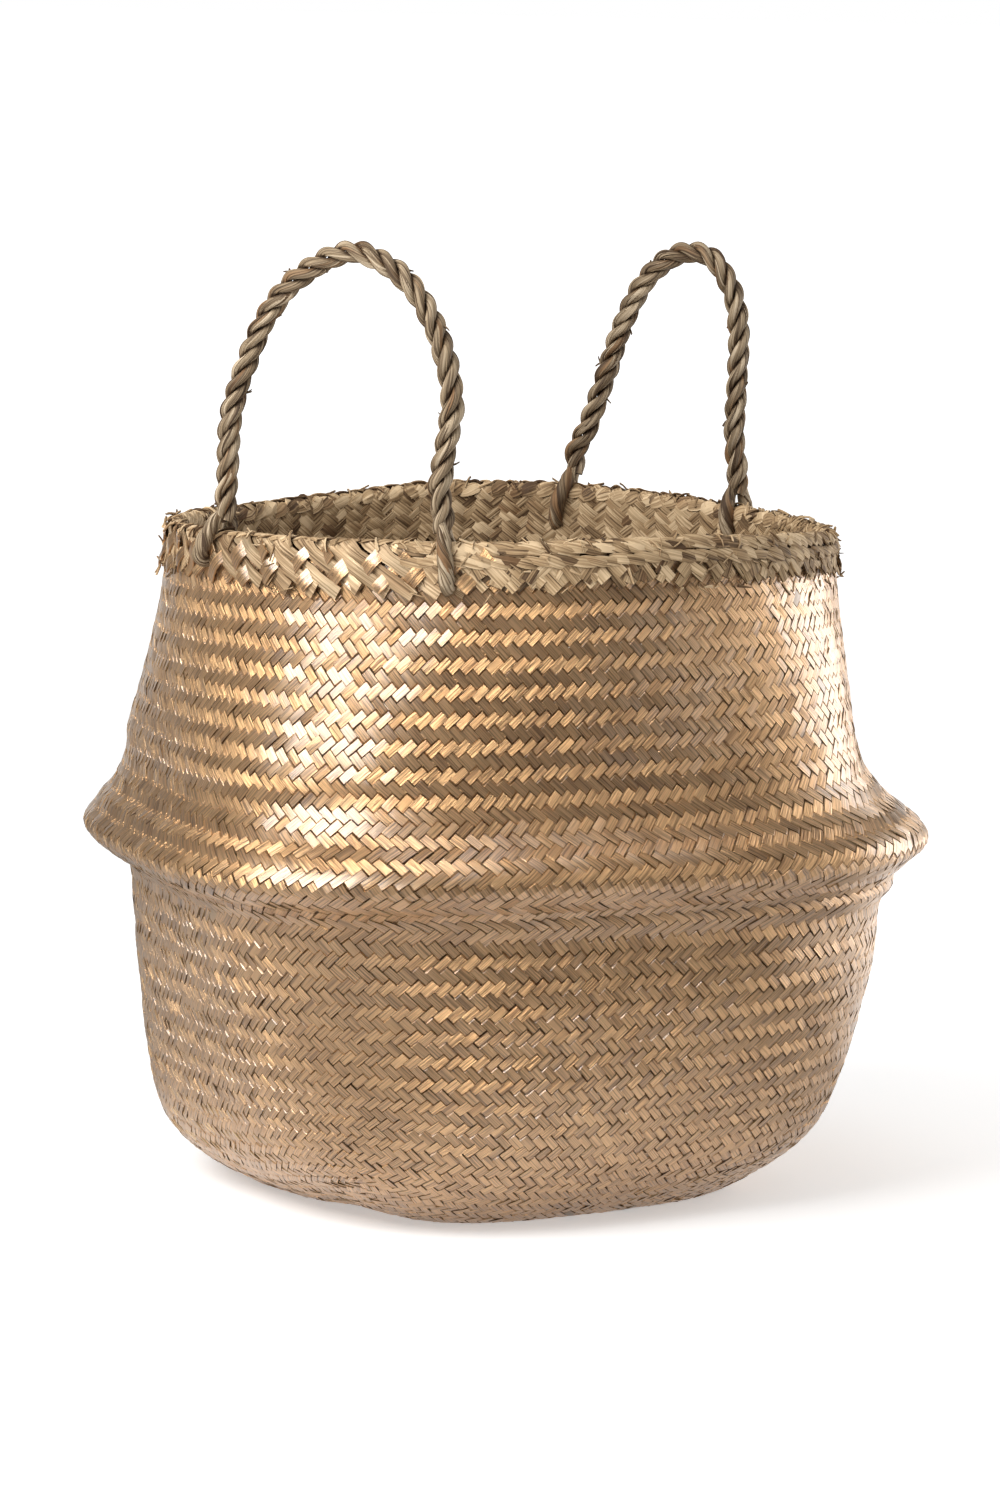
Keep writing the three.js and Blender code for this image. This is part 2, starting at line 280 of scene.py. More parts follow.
@dataclass(frozen=True)
class BodyForm:
    """Outer face of the plaited body, in metres.

    A pair is a radius and a height. A heel lift, and the rim's draw, is a distance with the
    centre and the spread of its bell in degrees. The tables are in millimetres: lean and
    girth against the height, and the rim's rise against the bearing in degrees.
    """

    heel_radius: float = 0.109
    tuck: Pair = (0.179, 0.150)
    ridge: Pair = (0.201, 0.170)
    neck: Pair = (0.174, 0.215)
    mouth: Pair = (0.1585, 0.3137)
    wall: float = 0.0024
    band_bottom: float = 0.2897
    rim_height: float = 0.321
    upper_from: float = 0.2
    squareness: float = 0.055
    round_under: float = 0.1
    heel_lifts: tuple[tuple[float, float, float], ...] = ((0.0042, -92, 14), (0.0008, -115, 12))
    heel_height: float = 0.06
    drawn_rim: tuple[float, float, float] = (-0.0024, -149, 26)
    line_step: float = 0.0005
    above_mouth: float = 0.012
    base_turn: float = 17.0
    belly_turn: float = 5.0
    heel_rounding: float = 0.006
    across_bearing: float = 31.2
    lean_table: tuple[Pair, ...] = (
        (-20, -5), (0, -5), (12, -7), (38, -4.5), (86, -0.3), (120, 1.8), (135, 1.6),
        (143, 2.4), (150, 4.2), (157, 0.6), (164, -0.6), (176, 2.6), (190, 0), (205, -3),
        (216, -4.4), (235, -3), (260, -1.2), (285, 0), (320, 0), (345, -1.3), (500, -1.3),
    )
    girth_table: tuple[Pair, ...] = (
        (-20, 0), (0, 0.5), (17, 0.5), (38, -1.6), (62, -3.2), (86, -1.7), (111, 0.8),
        (135, 0.9), (143, 1.0), (150, 2.4), (157, -0.8), (164, -1.8), (172, -1.0), (192, -1.8),
        (206, -1.4), (226, -0.4), (255, 0.8), (290, 0), (500, 0),
    )
    rim_table: tuple[Pair, ...] = (
        (-119, 2.5), (-89, 4.5), (-59, 4.5), (-29, 5), (-14, 3), (11, -2), (31, -6), (56, -6.5),
        (76, -4.5), (96, -1.5), (113, 1), (135, 1), (151, -2.5), (171, -4), (191, -3), (211, 0),
        (241, 2.5),
    )

    def outline(self) -> np.ndarray:
        """Radius and height of the wall's outer face from the heel to the mouth.

        Returns:
            Points of a smooth curve through the outline's shares.
        """
        spans = (
            (
                (self.heel_radius, 0.0),
                self.tuck,
                [(0, 0), (0.37, 0.1), (0.65, 0.23), (0.82, 0.43), (0.88, 0.63), (0.94, 0.87), (1, 1)],
            ),
            (self.tuck, self.ridge, [(0.66, 0.55), (1, 1)]),
            (self.ridge, self.neck, [(0.2, 0.23), (0.6, 0.47), (0.9, 0.76), (1, 1)]),
            (self.neck, self.mouth, [(0.15, 0.1), (0.5, 0.38), (0.75, 0.68), (1, 1)]),
        )
        rows = [
            (a[0] + (b[0] - a[0]) * share[0], a[1] + (b[1] - a[1]) * share[1])
            for a, b, shares in spans
            for share in shares
        ]
        return catmull_rom(np.array(rows), 40, 0.0)

    def meridian(self) -> tuple[np.ndarray, np.ndarray, np.ndarray]:
        """Line from the middle of the bottom, out and up the wall to the rim.

        The flat bottom runs out to the heel, the wall follows the outline, and the
        corner between them is rounded by a running mean of the given length.

        Returns:
            Length along the line, radius, and height.
        """
        wall = self.outline()
        rise = wall[-1] - wall[-8]
        top = wall[-1] + rise / np.linalg.norm(rise) * self.above_mouth
        line = np.vstack([np.array([[0.0, 0.0], [self.heel_radius * 0.5, 0.0]]), wall, top])
        even, length = even_lengths(line, self.line_step)
        reach = int(self.heel_rounding / self.line_step)
        kernel = np.hanning(2 * reach + 3)[1:-1]
        kernel /= kernel.sum()
        before = 2 * even[0] - even[reach:0:-1]
        after = 2 * even[-1] - even[-2 : -reach - 2 : -1]
        padded = np.vstack([before, even, after])
        soft = np.stack([np.convolve(column, kernel, "valid") for column in padded.T], axis=1)
        near = np.exp(-(((length - self.heel_radius) / (2 * self.heel_rounding)) ** 2))[:, None]
        even = even + (soft - even) * near
        even[0] = 0.0
        return length, even[:, 0], even[:, 1]

    def surface(self, bearing: np.ndarray, length: np.ndarray, lift: np.ndarray) -> np.ndarray:
        """Points over the body's outer face.

        The radius at a height swells by a share times the cosine of four times the angle
        from the corners, the share fades to nothing at the border, and the corners turn
        between the floor and the tuck. A point then moves along the face's normal by its lift.

        Args:
            bearing: angle round the axis, in radians.
            length: length along the meridian from the middle of the bottom.
            lift: distance outward from the outer face.

        Returns:
            Points, with a last axis of 3.
        """
        along, radii, heights = MERIDIAN
        radius = np.interp(length, along, radii)
        height = np.interp(length, along, heights)
        slope_r = np.interp(length, along, np.gradient(radii, along))
        slope_z = np.interp(length, along, np.gradient(heights, along))
        size = np.hypot(slope_r, slope_z)
        out, up = slope_z / size, -slope_r / size
        fade = 1 - np.clip((height - self.neck[1]) / (self.band_bottom - self.neck[1]), 0, 1)
        swell = self.squareness * fade
        climbed = np.clip(height / self.tuck[1], 0, 1)
        turn = np.radians(self.base_turn + (self.belly_turn - self.base_turn) * climbed)
        factor = 1 + swell * np.cos(4 * (bearing - turn))
        change = -4 * swell * np.sin(4 * (bearing - turn))
        lean = np.hypot(factor, change)
        normal_r, normal_t = factor / lean, -change / lean
        cosine, sine = np.cos(bearing), np.sin(bearing)
        reach = radius * factor
        x = reach * cosine + lift * out * (normal_r * cosine - normal_t * sine)
        y = reach * sine + lift * out * (normal_r * sine + normal_t * cosine)
        return self.settle(np.stack([x, y, height + lift * up], axis=-1))

    def lean(self, height: np.ndarray) -> np.ndarray:
        """Sideways shift of the soft body at a height, as a smooth curve through its table."""
        table = catmull_rom(np.array(self.lean_table) * MM, 12, 0.5)
        return np.interp(height, table[:, 0], table[:, 1])

    def girth(self, height: np.ndarray) -> np.ndarray:
        """Small swelling of the soft body at a height, as a smooth curve through its table."""
        table = catmull_rom(np.array(self.girth_table) * MM, 12, 0.5)
        return np.interp(height, table[:, 0], table[:, 1])

    def upper_radius(self, height: np.ndarray | float) -> np.ndarray:
        """Radius of the outer face on the upper wall, where it has one at each height.

        Args:
            height: heights above the ridge.

        Returns:
            The radii.
        """
        _, radii, heights = MERIDIAN
        upper = heights > self.upper_from
        return np.interp(height, heights[upper], radii[upper])

    def lean_direction(self) -> np.ndarray:
        """Level unit vector in which the soft body leans: to the right in the photograph."""
        bearing = math.radians(self.across_bearing)
        return np.array([math.cos(bearing), math.sin(bearing), 0.0])

    def bell(self, bearing: np.ndarray, centre: float, spread: float) -> np.ndarray:
        """Bell curve of the bearing round a centre, in degrees."""
        return np.exp(-((((bearing - centre + 180) % 360 - 180) / spread) ** 2))

    def settle(self, points: np.ndarray) -> np.ndarray:
        """Lets the soft body lean and the rim rise and sag, as they do in use.

        The height changes by the rim's table at the bearing, times a smooth rise from the neck
        to the rim. Near the floor the heel rises at one side, and the rim is drawn in at the
        left, each by a bell of the bearing. Each level then swells by its girth and moves
        sideways by its lean.

        Args:
            points: points with a last axis of 3.

        Returns:
            The moved points.
        """
        bearing = np.degrees(np.arctan2(points[..., 1], points[..., 0]))
        bearing = np.where(bearing < self.rim_table[0][0], bearing + 360, bearing)
        curve = catmull_rom(np.array(self.rim_table), 8, 0.0)
        change = np.interp(bearing, curve[:, 0], curve[:, 1]) * MM
        climb = smooth_step((points[..., 2] - self.neck[1]) / (self.rim_height - self.neck[1]))
        moved = points.copy()
        moved[..., 2] += change * climb
        reach = np.hypot(points[..., 0], points[..., 1])
        outer = smooth_step(reach / self.round_under)
        low = sum(rise * self.bell(bearing, centre, spread) for rise, centre, spread in self.heel_lifts)
        moved[..., 2] += low * outer * (1 - smooth_step(points[..., 2] / self.heel_height))
        pull, centre, spread = self.drawn_rim
        drawn = pull * self.bell(bearing, centre, spread) * climb
        grown = self.girth(points[..., 2]) * outer + drawn
        swell = 1 + grown / np.maximum(reach, self.round_under / 2)
        moved[..., :2] *= swell[..., None]
        moved[..., :2] += self.lean(moved[..., 2])[..., None] * self.lean_direction()[:2]
        return moved


BODY = BodyForm()
MERIDIAN = BODY.meridian()


@dataclass(frozen=True)
class PlaitNet:
    """Net of the plait: a square of strands in the bottom whose four sides turn up into the wall."""

    half_side: float = 22.0
    base_cell: float = 0.0058
    top_height: float = 0.311
    stretch: float = 0.14
    stretch_spread: float = 0.042
    square_left: float = 0.416
    level_rows: float = 7.0
    round_rows: float = 8.0
    eased_rows: float = 6.0
    eased_steps: int = 10
    turn: float = 9.0

    @property
    def around(self) -> float:
        """Cells round the wall."""
        return 8 * self.half_side

    def rows(self) -> tuple[np.ndarray, np.ndarray]:
        """Row number against length up the meridian at the middle of a side.

        A row is as high as the cells are wide: the bottom's cell in the bottom, and the
        girth shared by the cells round the wall from the tuck up, with a smooth change
        between. Where the bottom turns up, the rows are stretched by a bell of the length,
        because the square's sides are pulled out there to make the heel round.

        Returns:
            Rows, and lengths.
        """
        along, radii, heights = MERIDIAN
        tuck = float(np.interp(BODY.tuck[1], heights, along))
        edge = self.half_side * self.base_cell
        mix = smooth_step((along - edge) / (tuck - edge))
        cell = self.base_cell + (2 * np.pi * radii / self.around - self.base_cell) * mix
        cell = cell * (1 + self.stretch * np.exp(-(((along - edge) / self.stretch_spread) ** 2)))
        rows = np.concatenate([[0], np.cumsum(np.diff(along) / ((cell[1:] + cell[:-1]) / 2))])
        return rows, along

    def top_row(self) -> float:
        """Row at which the body's strands end under the border."""
        rows, along = ROWS
        return float(np.interp(np.interp(self.top_height, MERIDIAN[2], along), along, rows))

    def squareness(self, row: np.ndarray) -> np.ndarray:
        """How much a row keeps of the square's corners.

        It is 1 in the middle of the bottom and falls with the power 1 + root 2 of the row,
        which is the one fall that keeps the strands straight where they cross the corner
        lines; past the square's side what is left fades out exponentially.

        Args:
            row: row numbers.

        Returns:
            Shares from 1 to 0.
        """
        side = self.half_side
        inner = 1 - (1 - self.square_left) * (np.clip(row, 0, side) / side) ** (1 + math.sqrt(2))
        return inner * np.exp(-np.maximum(row - side, 0) / self.level_rows)

    def locate(self, own: np.ndarray, cross: np.ndarray) -> tuple[np.ndarray, np.ndarray]:
        """Bearing and length of a point given by a strand's number and its crossing strand's.

        In the bottom the two numbers are slanting axes of a flat square: the half sum is
        the row and the half difference is the place along the side. The place turns from the
        square's tangent rule to even angles, and the rows' reach to the corners fades out, so
        that the rows run level round the wall.

        Args:
            own: number of the strand, above 0.
            cross: number of the crossing strand, of either sign.

        Returns:
            Bearings in radians from the middle of the first side, and lengths.
        """
        rows, along = ROWS
        beyond = np.abs(cross)
        row = (own + beyond) / 2
        place = (own - beyond) / 2
        inside = row <= self.half_side
        quarter = np.round(place / (2 * self.half_side))
        least = 0.05
        share = (place - 2 * self.half_side * quarter) / np.clip(row, least, self.half_side)
        square = self.squareness(row)
        tangent = np.where(inside, np.arctan2(place, row), np.arctan(share))
        bearing = quarter * np.pi / 2 + square * tangent + (1 - square) * share * np.pi / 4
        sharp = self.half_side * (np.sqrt(1 + share**2) - 1)
        soft = self.half_side * (math.sqrt(2) - 1) / 2 * (1 - np.cos(np.pi * share))
        reach = sharp + (soft - sharp) * smooth_step((row - self.half_side) / self.round_rows)
        reach = np.where(inside, np.hypot(place, row) - np.maximum(row, 0), reach)
        length = np.interp(row, rows, along) + self.base_cell * square * reach
        return np.where(cross < 0, np.pi / 2 - bearing, bearing), length

    def eased(
        self, bearing: np.ndarray, length: np.ndarray, row: np.ndarray
    ) -> tuple[np.ndarray, np.ndarray]:
        """Smooths a strand's path where it turns up from the bottom.

        The path is laid out flat by bearing and length, averaged along itself with a bell
        of a few cells, and the average counts most near the square's side.

        Args:
            bearing: bearings, steps x lines.
            length: lengths, steps x lines.
            row: row at each step.

        Returns:
            Smoothed bearings and lengths.
        """
        half = self.eased_steps
        kernel = np.exp(-((2 * np.arange(-half, half + 1) / half) ** 2))
        kernel /= kernel.sum()
        flat = np.stack([length * np.cos(bearing), length * np.sin(bearing)], axis=-1)
        padded = np.concatenate([np.repeat(flat[:1], half, 0), flat, np.repeat(flat[-1:], half, 0)])
        soft = sum(weight * padded[k : k + len(flat)] for k, weight in enumerate(kernel))
        near = np.exp(-(((row - self.half_side) / self.eased_rows) ** 2))[:, None, None]
        flat = flat + (soft - flat) * near
        return np.arctan2(flat[..., 1], flat[..., 0]), np.hypot(flat[..., 0], flat[..., 1])


NET = PlaitNet()
ROWS = NET.rows()


@dataclass
class PlaitedBody:
    """The body: 176 flat strands in a slanting 2/2 twill, each running from rim to rim."""

    thickness: float = 0.0006
    crown: float = 0.00009
    wave: float = 0.00058
    middle: float = -0.00115
    flat_width: float = 0.0044
    float_end: float = 0.88
    drift: float = 0.05
    narrowing: float = 0.09
    widths: Pair = (0.86, 1.1)
    end_lift: float = 0.22
    roll: float = 0.00036
    raised: float = 0.00014
    # Painted shade: how much darker a strand's lower corners are, which shades the gaps between strands
    # and darkens the inner face.
    gap_shade: float = 0.7
    bare_share: float = 0.0012
    seed: int = 41

    def strand(self, sweep: Sweep, number: float, turn: float, rng: np.random.Generator) -> None:
        """Adds one strand.

        Its middle and edges are lines of the net. It lies flat over two crossings and flat
        under two, with a short slope between, and the order changes where the strand passes
        its nearest point to the middle of the bottom.

        Args:
            sweep: mesh that is gathered.
            number: the strand's number in its quarter of the net.
            turn: angle of that quarter.
            rng: seeded source of the irregularities.
        """
        half = (2 * NET.half_side - number) + 2 * (NET.top_row() - NET.half_side)
        first = int(number)
        flat = np.array([-self.float_end, 0.0, self.float_end])
        beats = 2.0 * np.arange(-1, int(half + first) // 2 + 2)[:, None] + flat
        arm = beats.ravel() - first
        arm = arm[(arm > 0.1) & (arm <= half)]
        centre = [0.0] if first % 2 == 0 else []
        cross = np.concatenate([-arm[::-1], centre, arm])
        size = len(cross)
        drift = self.drift * smooth_noise(rng, size, 11)
        width = (1 - self.narrowing * np.abs(smooth_noise(rng, size, 9))) * rng.uniform(*self.widths)
        offsets = np.array([-0.5, 0.0, 0.5])
        grid = np.arange(-int(half * 2) - 1, int(half * 2) + 2) / 2.0
        lines = number + np.interp(grid, cross, drift)[:, None]
        lines = lines + offsets * np.interp(grid, cross, width)[:, None]
        bearing, length = NET.locate(lines, np.broadcast_to(grid[:, None], lines.shape))
        bearing, length = NET.eased(bearing, length, (np.abs(grid) + number) / 2)
        bearing = np.unwrap(bearing, axis=0)
        bearing = np.stack([np.interp(cross, grid, column) for column in bearing.T], axis=1)
        length = np.stack([np.interp(cross, grid, column) for column in length.T], axis=1)
        beat = np.floor((np.abs(cross) + first + 1) / 2).astype(int)
        inner = 1 + self.end_lift * (np.abs((np.abs(cross) + first) % 2) < 0.1)
        level = np.where(beat % 2 == 0, 1.0, -1.0) * inner
        lift = -np.sign(cross) * level * self.wave
        floats = 2 * beat + (cross > 0)
        each = rng.uniform(-1, 1, (3, floats.max() + 2))
        roll = self.roll * (0.8 * each[0][floats] + 0.4 * smooth_noise(rng, size, 3))
        raised = self.raised * each[1][floats] * (lift > 0)
        tone = 0.5 * rng.uniform(-1, 1) + 0.5 * each[2][floats]
        bare_of = rng.random(floats.max() + 2) < self.bare_share
        bare = bare_of[floats] * (lift > 0)
        middle = self.middle + lift + raised
        top = self.thickness / 2
        upper, lower = middle + top, middle - top
        lifts = (upper - roll, upper + self.crown, upper + roll, lower + roll, lower - roll)
        rings = np.empty((size, 5, 3))
        for corner, (line, level) in enumerate(zip((0, 1, 2, 2, 0), lifts)):
            rings[:, corner] = BODY.surface(bearing[:, line] + turn, length[:, line], level)
        run = path_lengths(rings[:, 1])
        across = strip_lengths(self.flat_width, self.thickness)
        # Painted shade: the lower corners are darker, so the sides in the gaps shade downward and the
        # inner face is darker.
        shade = tone[:, None] - self.gap_shade * SHADED_UNDER_SIDE
        run, across = run + rng.uniform(0, 3), across + rng.uniform(0, 3)
        sweep.add(rings, run, across, shade, bare, raw_sides=(2, 3, 4))

    def build(self, painted: Material, raw: Material) -> list[Piece]:
        """Makes the strands in eight bundles: each quarter's short ones and long ones.

        Args:
            painted: finish of the outer faces.
            raw: finish of the inner faces.

        Returns:
            The eight pieces.
        """
        made = []
        per_bundle = int(NET.half_side)
        for quarter in range(4):
            for half in range(2):
                rng = np.random.default_rng(self.seed + 2 * quarter + half)
                sweep = Sweep()
                turn = math.radians(NET.turn + 45 + 90 * quarter)
                for index in range(per_bundle):
                    self.strand(sweep, half * per_bundle + index + 0.5, turn, rng)
                made.append(sweep.build(f"plait_bundle_{2 * quarter + half + 1}", [painted, raw], 18))
        return made


# Finishes


def new_material(name: str) -> tuple[Material, Tree, bpy.types.ShaderNode]:
    """A node material with its Principled shader.

    Args:
        name: material's name.

    Returns:
        The material, its tree and the shader node.
    """
    material = bpy.data.materials.new(name)
    material.use_nodes = True
    tree = material.node_tree
    return material, tree, next(n for n in tree.nodes if n.type == "BSDF_PRINCIPLED")


def add_ramp(tree: Tree, source: Socket, stops: list[tuple[float, Colour]]) -> Socket:
    """Colour ramp over a value.

    Args:
        tree: node tree.
        source: value socket.
        stops: places and linear colours.

    Returns:
        The colour socket.
    """
    node = tree.nodes.new("ShaderNodeValToRGB")
    ramp = node.color_ramp
    while len(ramp.elements) < len(stops):
        ramp.elements.new(0.5)
    for element, (place, colour) in zip(ramp.elements, stops):
        element.position = place
        element.color = (*colour, 1)
    tree.links.new(source, node.inputs["Fac"])
    return node.outputs["Color"]


def add_math(tree: Tree, kind: str, *values: Socket | float) -> Socket:
    """Math node.

    Args:
        tree: node tree.
        kind: operation.
        values: sockets or numbers.

    Returns:
        The result's socket.
    """
    node = tree.nodes.new("ShaderNodeMath")
    node.operation = kind
    for slot, value in zip(node.inputs, values):
        if isinstance(value, Socket):
            tree.links.new(value, slot)
        else:
            slot.default_value = value
    return node.outputs[0]


def add_held(tree: Tree, value: Socket, share: float) -> Socket:
    """A value held within 0 to 1, times a share."""
    raised = add_math(tree, "MAXIMUM", value, 0.0)
    return add_math(tree, "MULTIPLY", add_math(tree, "MINIMUM", raised, 1.0), share)


def add_roughness(tree: Tree, lines: Socket, middle: float) -> Socket:
    """Roughness that follows the fibres, from 0.1 under its middle to 0.1 over it."""
    return add_math(tree, "MULTIPLY_ADD", lines, 0.2, middle - 0.1)


def add_mix(
    tree: Tree, kind: str, share: Socket | float, first: Socket | Colour, second: Socket | Colour
) -> Socket:
    """Mix node for colours.

    Args:
        tree: node tree.
        kind: blend type.
        share: socket or number for the factor.
        first: first colour, a socket or three numbers.
        second: second colour, a socket or three numbers.

    Returns:
        The colour socket.
    """
    node = tree.nodes.new("ShaderNodeMix")
    node.data_type = "RGBA"
    node.blend_type = kind
    slots = (node.inputs[0], node.inputs[6], node.inputs[7])
    for slot, value in zip(slots, (share, first, second)):
        if isinstance(value, Socket):
            tree.links.new(value, slot)
        elif isinstance(value, tuple):
            slot.default_value = (*value, 1)
        else:
            slot.default_value = value
    return node.outputs[2]


def fibre_group() -> Tree:
    """Shared effect: the fibres of a flat seagrass strand.

    Noise is read on the strand's own lengths, drawn out along it, so it makes fine lines.
    A second noise gives patches a few centimetres long, and a third adds the finest lines to
    the height. Each noise is given by its scale along and across, and its detail.

    Returns:
        A node group with the outputs Lines, Patches, Tone, Bare and Height.
    """
    group = bpy.data.node_groups.new("strand_fibres", "ShaderNodeTree")
    for name in ("Lines", "Patches", "Tone", "Bare", "Height"):
        group.interface.new_socket(name, in_out="OUTPUT", socket_type="NodeSocketFloat")
    out = group.nodes.new("NodeGroupOutput")
    fibre = group.nodes.new("ShaderNodeUVMap")
    fibre.uv_map = "fibre"
    links = group.links
    noises = []
    for along, across, detail in ((22.0, 1350.0, 2.0), (25.0, 90.0, 2.0), (60.0, 3600.0, 1.0)):
        scale = group.nodes.new("ShaderNodeMapping")
        scale.inputs["Scale"].default_value = (along, across, 1.0)
        noise = group.nodes.new("ShaderNodeTexNoise")
        noise.noise_dimensions = "2D"
        noise.inputs["Scale"].default_value = 1.0
        noise.inputs["Detail"].default_value = detail
        links.new(fibre.outputs[0], scale.inputs["Vector"])
        links.new(scale.outputs[0], noise.inputs["Vector"])
        noises.append(noise.outputs["Fac"])
    lines, patches, finest = noises
    links.new(lines, out.inputs["Lines"])
    links.new(patches, out.inputs["Patches"])
    for name in ("Tone", "Bare"):
        stored = group.nodes.new("ShaderNodeAttribute")
        stored.attribute_name = name.lower()
        links.new(stored.outputs["Fac"], out.inputs[name])
    height = add_math(group, "ADD", lines, add_math(group, "MULTIPLY", finest, 0.5))
    links.new(height, out.inputs["Height"])
    return group


def add_fibres(tree: Tree, group: Tree) -> bpy.types.ShaderNodeGroup:
    """Puts the fibre group into a material's tree.

    Args:
        tree: the material's node tree.
        group: the shared fibre group.

    Returns:
        The group's node.
    """
    node = tree.nodes.new("ShaderNodeGroup")
    node.node_tree = group
    return node


def add_bump(
    tree: Tree, shader: bpy.types.ShaderNode, height: Socket, depth: float, strength: float
) -> None:
    """Raises the surface's look by a height.

    Args:
        tree: node tree.
        shader: shader that takes the normal.
        height: height socket.
        depth: distance in metres of a height of one.
        strength: share of the effect.
    """
    bump = tree.nodes.new("ShaderNodeBump")
    bump.inputs["Distance"].default_value = depth
    bump.inputs["Strength"].default_value = strength
    tree.links.new(height, bump.inputs["Height"])
    tree.links.new(bump.outputs[0], shader.inputs["Normal"])


@dataclass(frozen=True)
class GoldPaint:
    """Satin gold spray over the strands, thin enough to show their fibres."""

    light: Colour = (0.85, 0.516, 0.245)
    deep: Colour = (0.43, 0.233, 0.10)
    bare: Colour = (0.26, 0.18, 0.10)
    tints: tuple[Colour, Colour, Colour] = ((0.74, 0.70, 0.66), (0.93, 0.92, 0.90), (1.0, 1.0, 0.99))
    worn: float = 0.6
    metal: float = 0.88
    roughness: float = 0.33
    worn_roughness: float = 0.3
    coat: float = 0.85
    coat_roughness: float = 0.28
    coat_ior: float = 2.0
    depth: float = 0.0006

    def make(self, fibres: Tree) -> Material:
        """Builds the material.

        Args:
            fibres: the shared fibre group.

        Returns:
            The material.
        """
        material, tree, shader = new_material("gold_paint")
        node = add_fibres(tree, fibres)
        streak = add_ramp(tree, node.outputs["Lines"], [(0.34, self.deep), (0.55, self.light)])
        tone = add_math(tree, "MULTIPLY_ADD", node.outputs["Tone"], 0.5, 0.5)
        tint = add_ramp(tree, tone, list(zip((0.0, 0.5, 1.0), self.tints)))
        tinted = add_mix(tree, "MULTIPLY", 1.0, streak, tint)
        missing = add_math(tree, "MULTIPLY", node.outputs["Bare"], self.worn)
        colour = add_mix(tree, "MIX", missing, tinted, self.bare)
        metallic = add_math(tree, "MULTIPLY_ADD", missing, -self.metal, self.metal)
        rough = add_roughness(tree, node.outputs["Lines"], self.roughness)
        rough = add_math(tree, "MULTIPLY_ADD", missing, self.worn_roughness, rough)
        tree.links.new(colour, shader.inputs["Base Color"])
        tree.links.new(metallic, shader.inputs["Metallic"])
        tree.links.new(rough, shader.inputs["Roughness"])
        shader.inputs["Coat Weight"].default_value = self.coat
        shader.inputs["Coat Roughness"].default_value = self.coat_roughness
        shader.inputs["Coat IOR"].default_value = self.coat_ior
        add_bump(tree, shader, node.outputs["Height"], self.depth, 1.0)
        return material


@dataclass(frozen=True)
class RawSeagrass:
    """Unpainted dried seagrass, dull and streaky."""

    name: str
    dark: Colour
    middle: Colour
    pale: Colour
    roughness: float = 0.72
    gloss: float = 0.35
    depth: float = 0.0003
    gilt: float = 0.0
    flecked: float = 0.35
    fleck: Colour = (0.33, 0.175, 0.075)

    def make(self, fibres: Tree) -> Material:
        """Builds the material.

        Args:
            fibres: the shared fibre group.

        Returns:
            The material.
        """
        material, tree, shader = new_material(self.name)
        node = add_fibres(tree, fibres)
        patches = add_math(tree, "MULTIPLY_ADD", node.outputs["Patches"], 1.1, -0.55)
        lines = add_math(tree, "MULTIPLY_ADD", node.outputs["Lines"], 1.15, -0.075)
        both = add_math(tree, "ADD", patches, lines)
        # Tone is random tone less the painted shade of gaps and crevices, so the colour is darker
        # there.
        value = add_math(tree, "MULTIPLY_ADD", node.outputs["Tone"], 0.19, both)
        plain = add_ramp(tree, value, [(0.16, self.dark), (0.48, self.middle), (0.82, self.pale)])
        spots = add_math(tree, "MULTIPLY_ADD", node.outputs["Lines"], 2.0, 1.4)
        spots = add_math(tree, "MULTIPLY_ADD", node.outputs["Patches"], -6.0, spots)
        colour = add_mix(tree, "MIX", add_held(tree, spots, self.flecked), plain, self.fleck)
        tree.links.new(colour, shader.inputs["Base Color"])
        rough = add_roughness(tree, node.outputs["Lines"], self.roughness)
        if self.gilt > 0:
            patch = add_math(tree, "MULTIPLY_ADD", node.outputs["Patches"], 3.0, -1.15)
            covered = add_held(tree, patch, self.gilt)
            tree.links.new(covered, shader.inputs["Metallic"])
            rough = add_math(tree, "MULTIPLY_ADD", covered, -0.5, rough)
        tree.links.new(rough, shader.inputs["Roughness"])
        shader.inputs["Specular IOR Level"].default_value = self.gloss
        add_bump(tree, shader, node.outputs["Height"], self.depth, 0.7)
        return material


RAW_SEAGRASS = RawSeagrass(
    "raw_seagrass", dark=(0.085, 0.045, 0.02), middle=(0.375, 0.245, 0.125), pale=(0.69, 0.51, 0.31)
)
SPRAYED_SEAGRASS = RawSeagrass(
    "sprayed_seagrass",
    dark=(0.13, 0.075, 0.035),
    middle=(0.41, 0.275, 0.15),
    pale=(0.72, 0.54, 0.34),
    gilt=0.7,
)
ROPE_SEAGRASS = RawSeagrass(
    "rope_seagrass",
    dark=(0.07, 0.04, 0.02),
    middle=(0.265, 0.19, 0.112),
    pale=(0.53, 0.42, 0.29),
    flecked=0.65,
)


# Border


def run_per_fall(slant: float) -> float:
    """Sideways run of a strand for each metre that it falls: one over its slant's tangent."""
    return 1 / math.tan(math.radians(slant))


@dataclass(frozen=True)
class RowOfFloats:
    """One row of short strands that lie nearly level round the border, like a twist."""

    down: float
    slant: float
    length: float
    width: float
    step: float
    lift: float
    start: float = 0.0
    end: float = 360.0


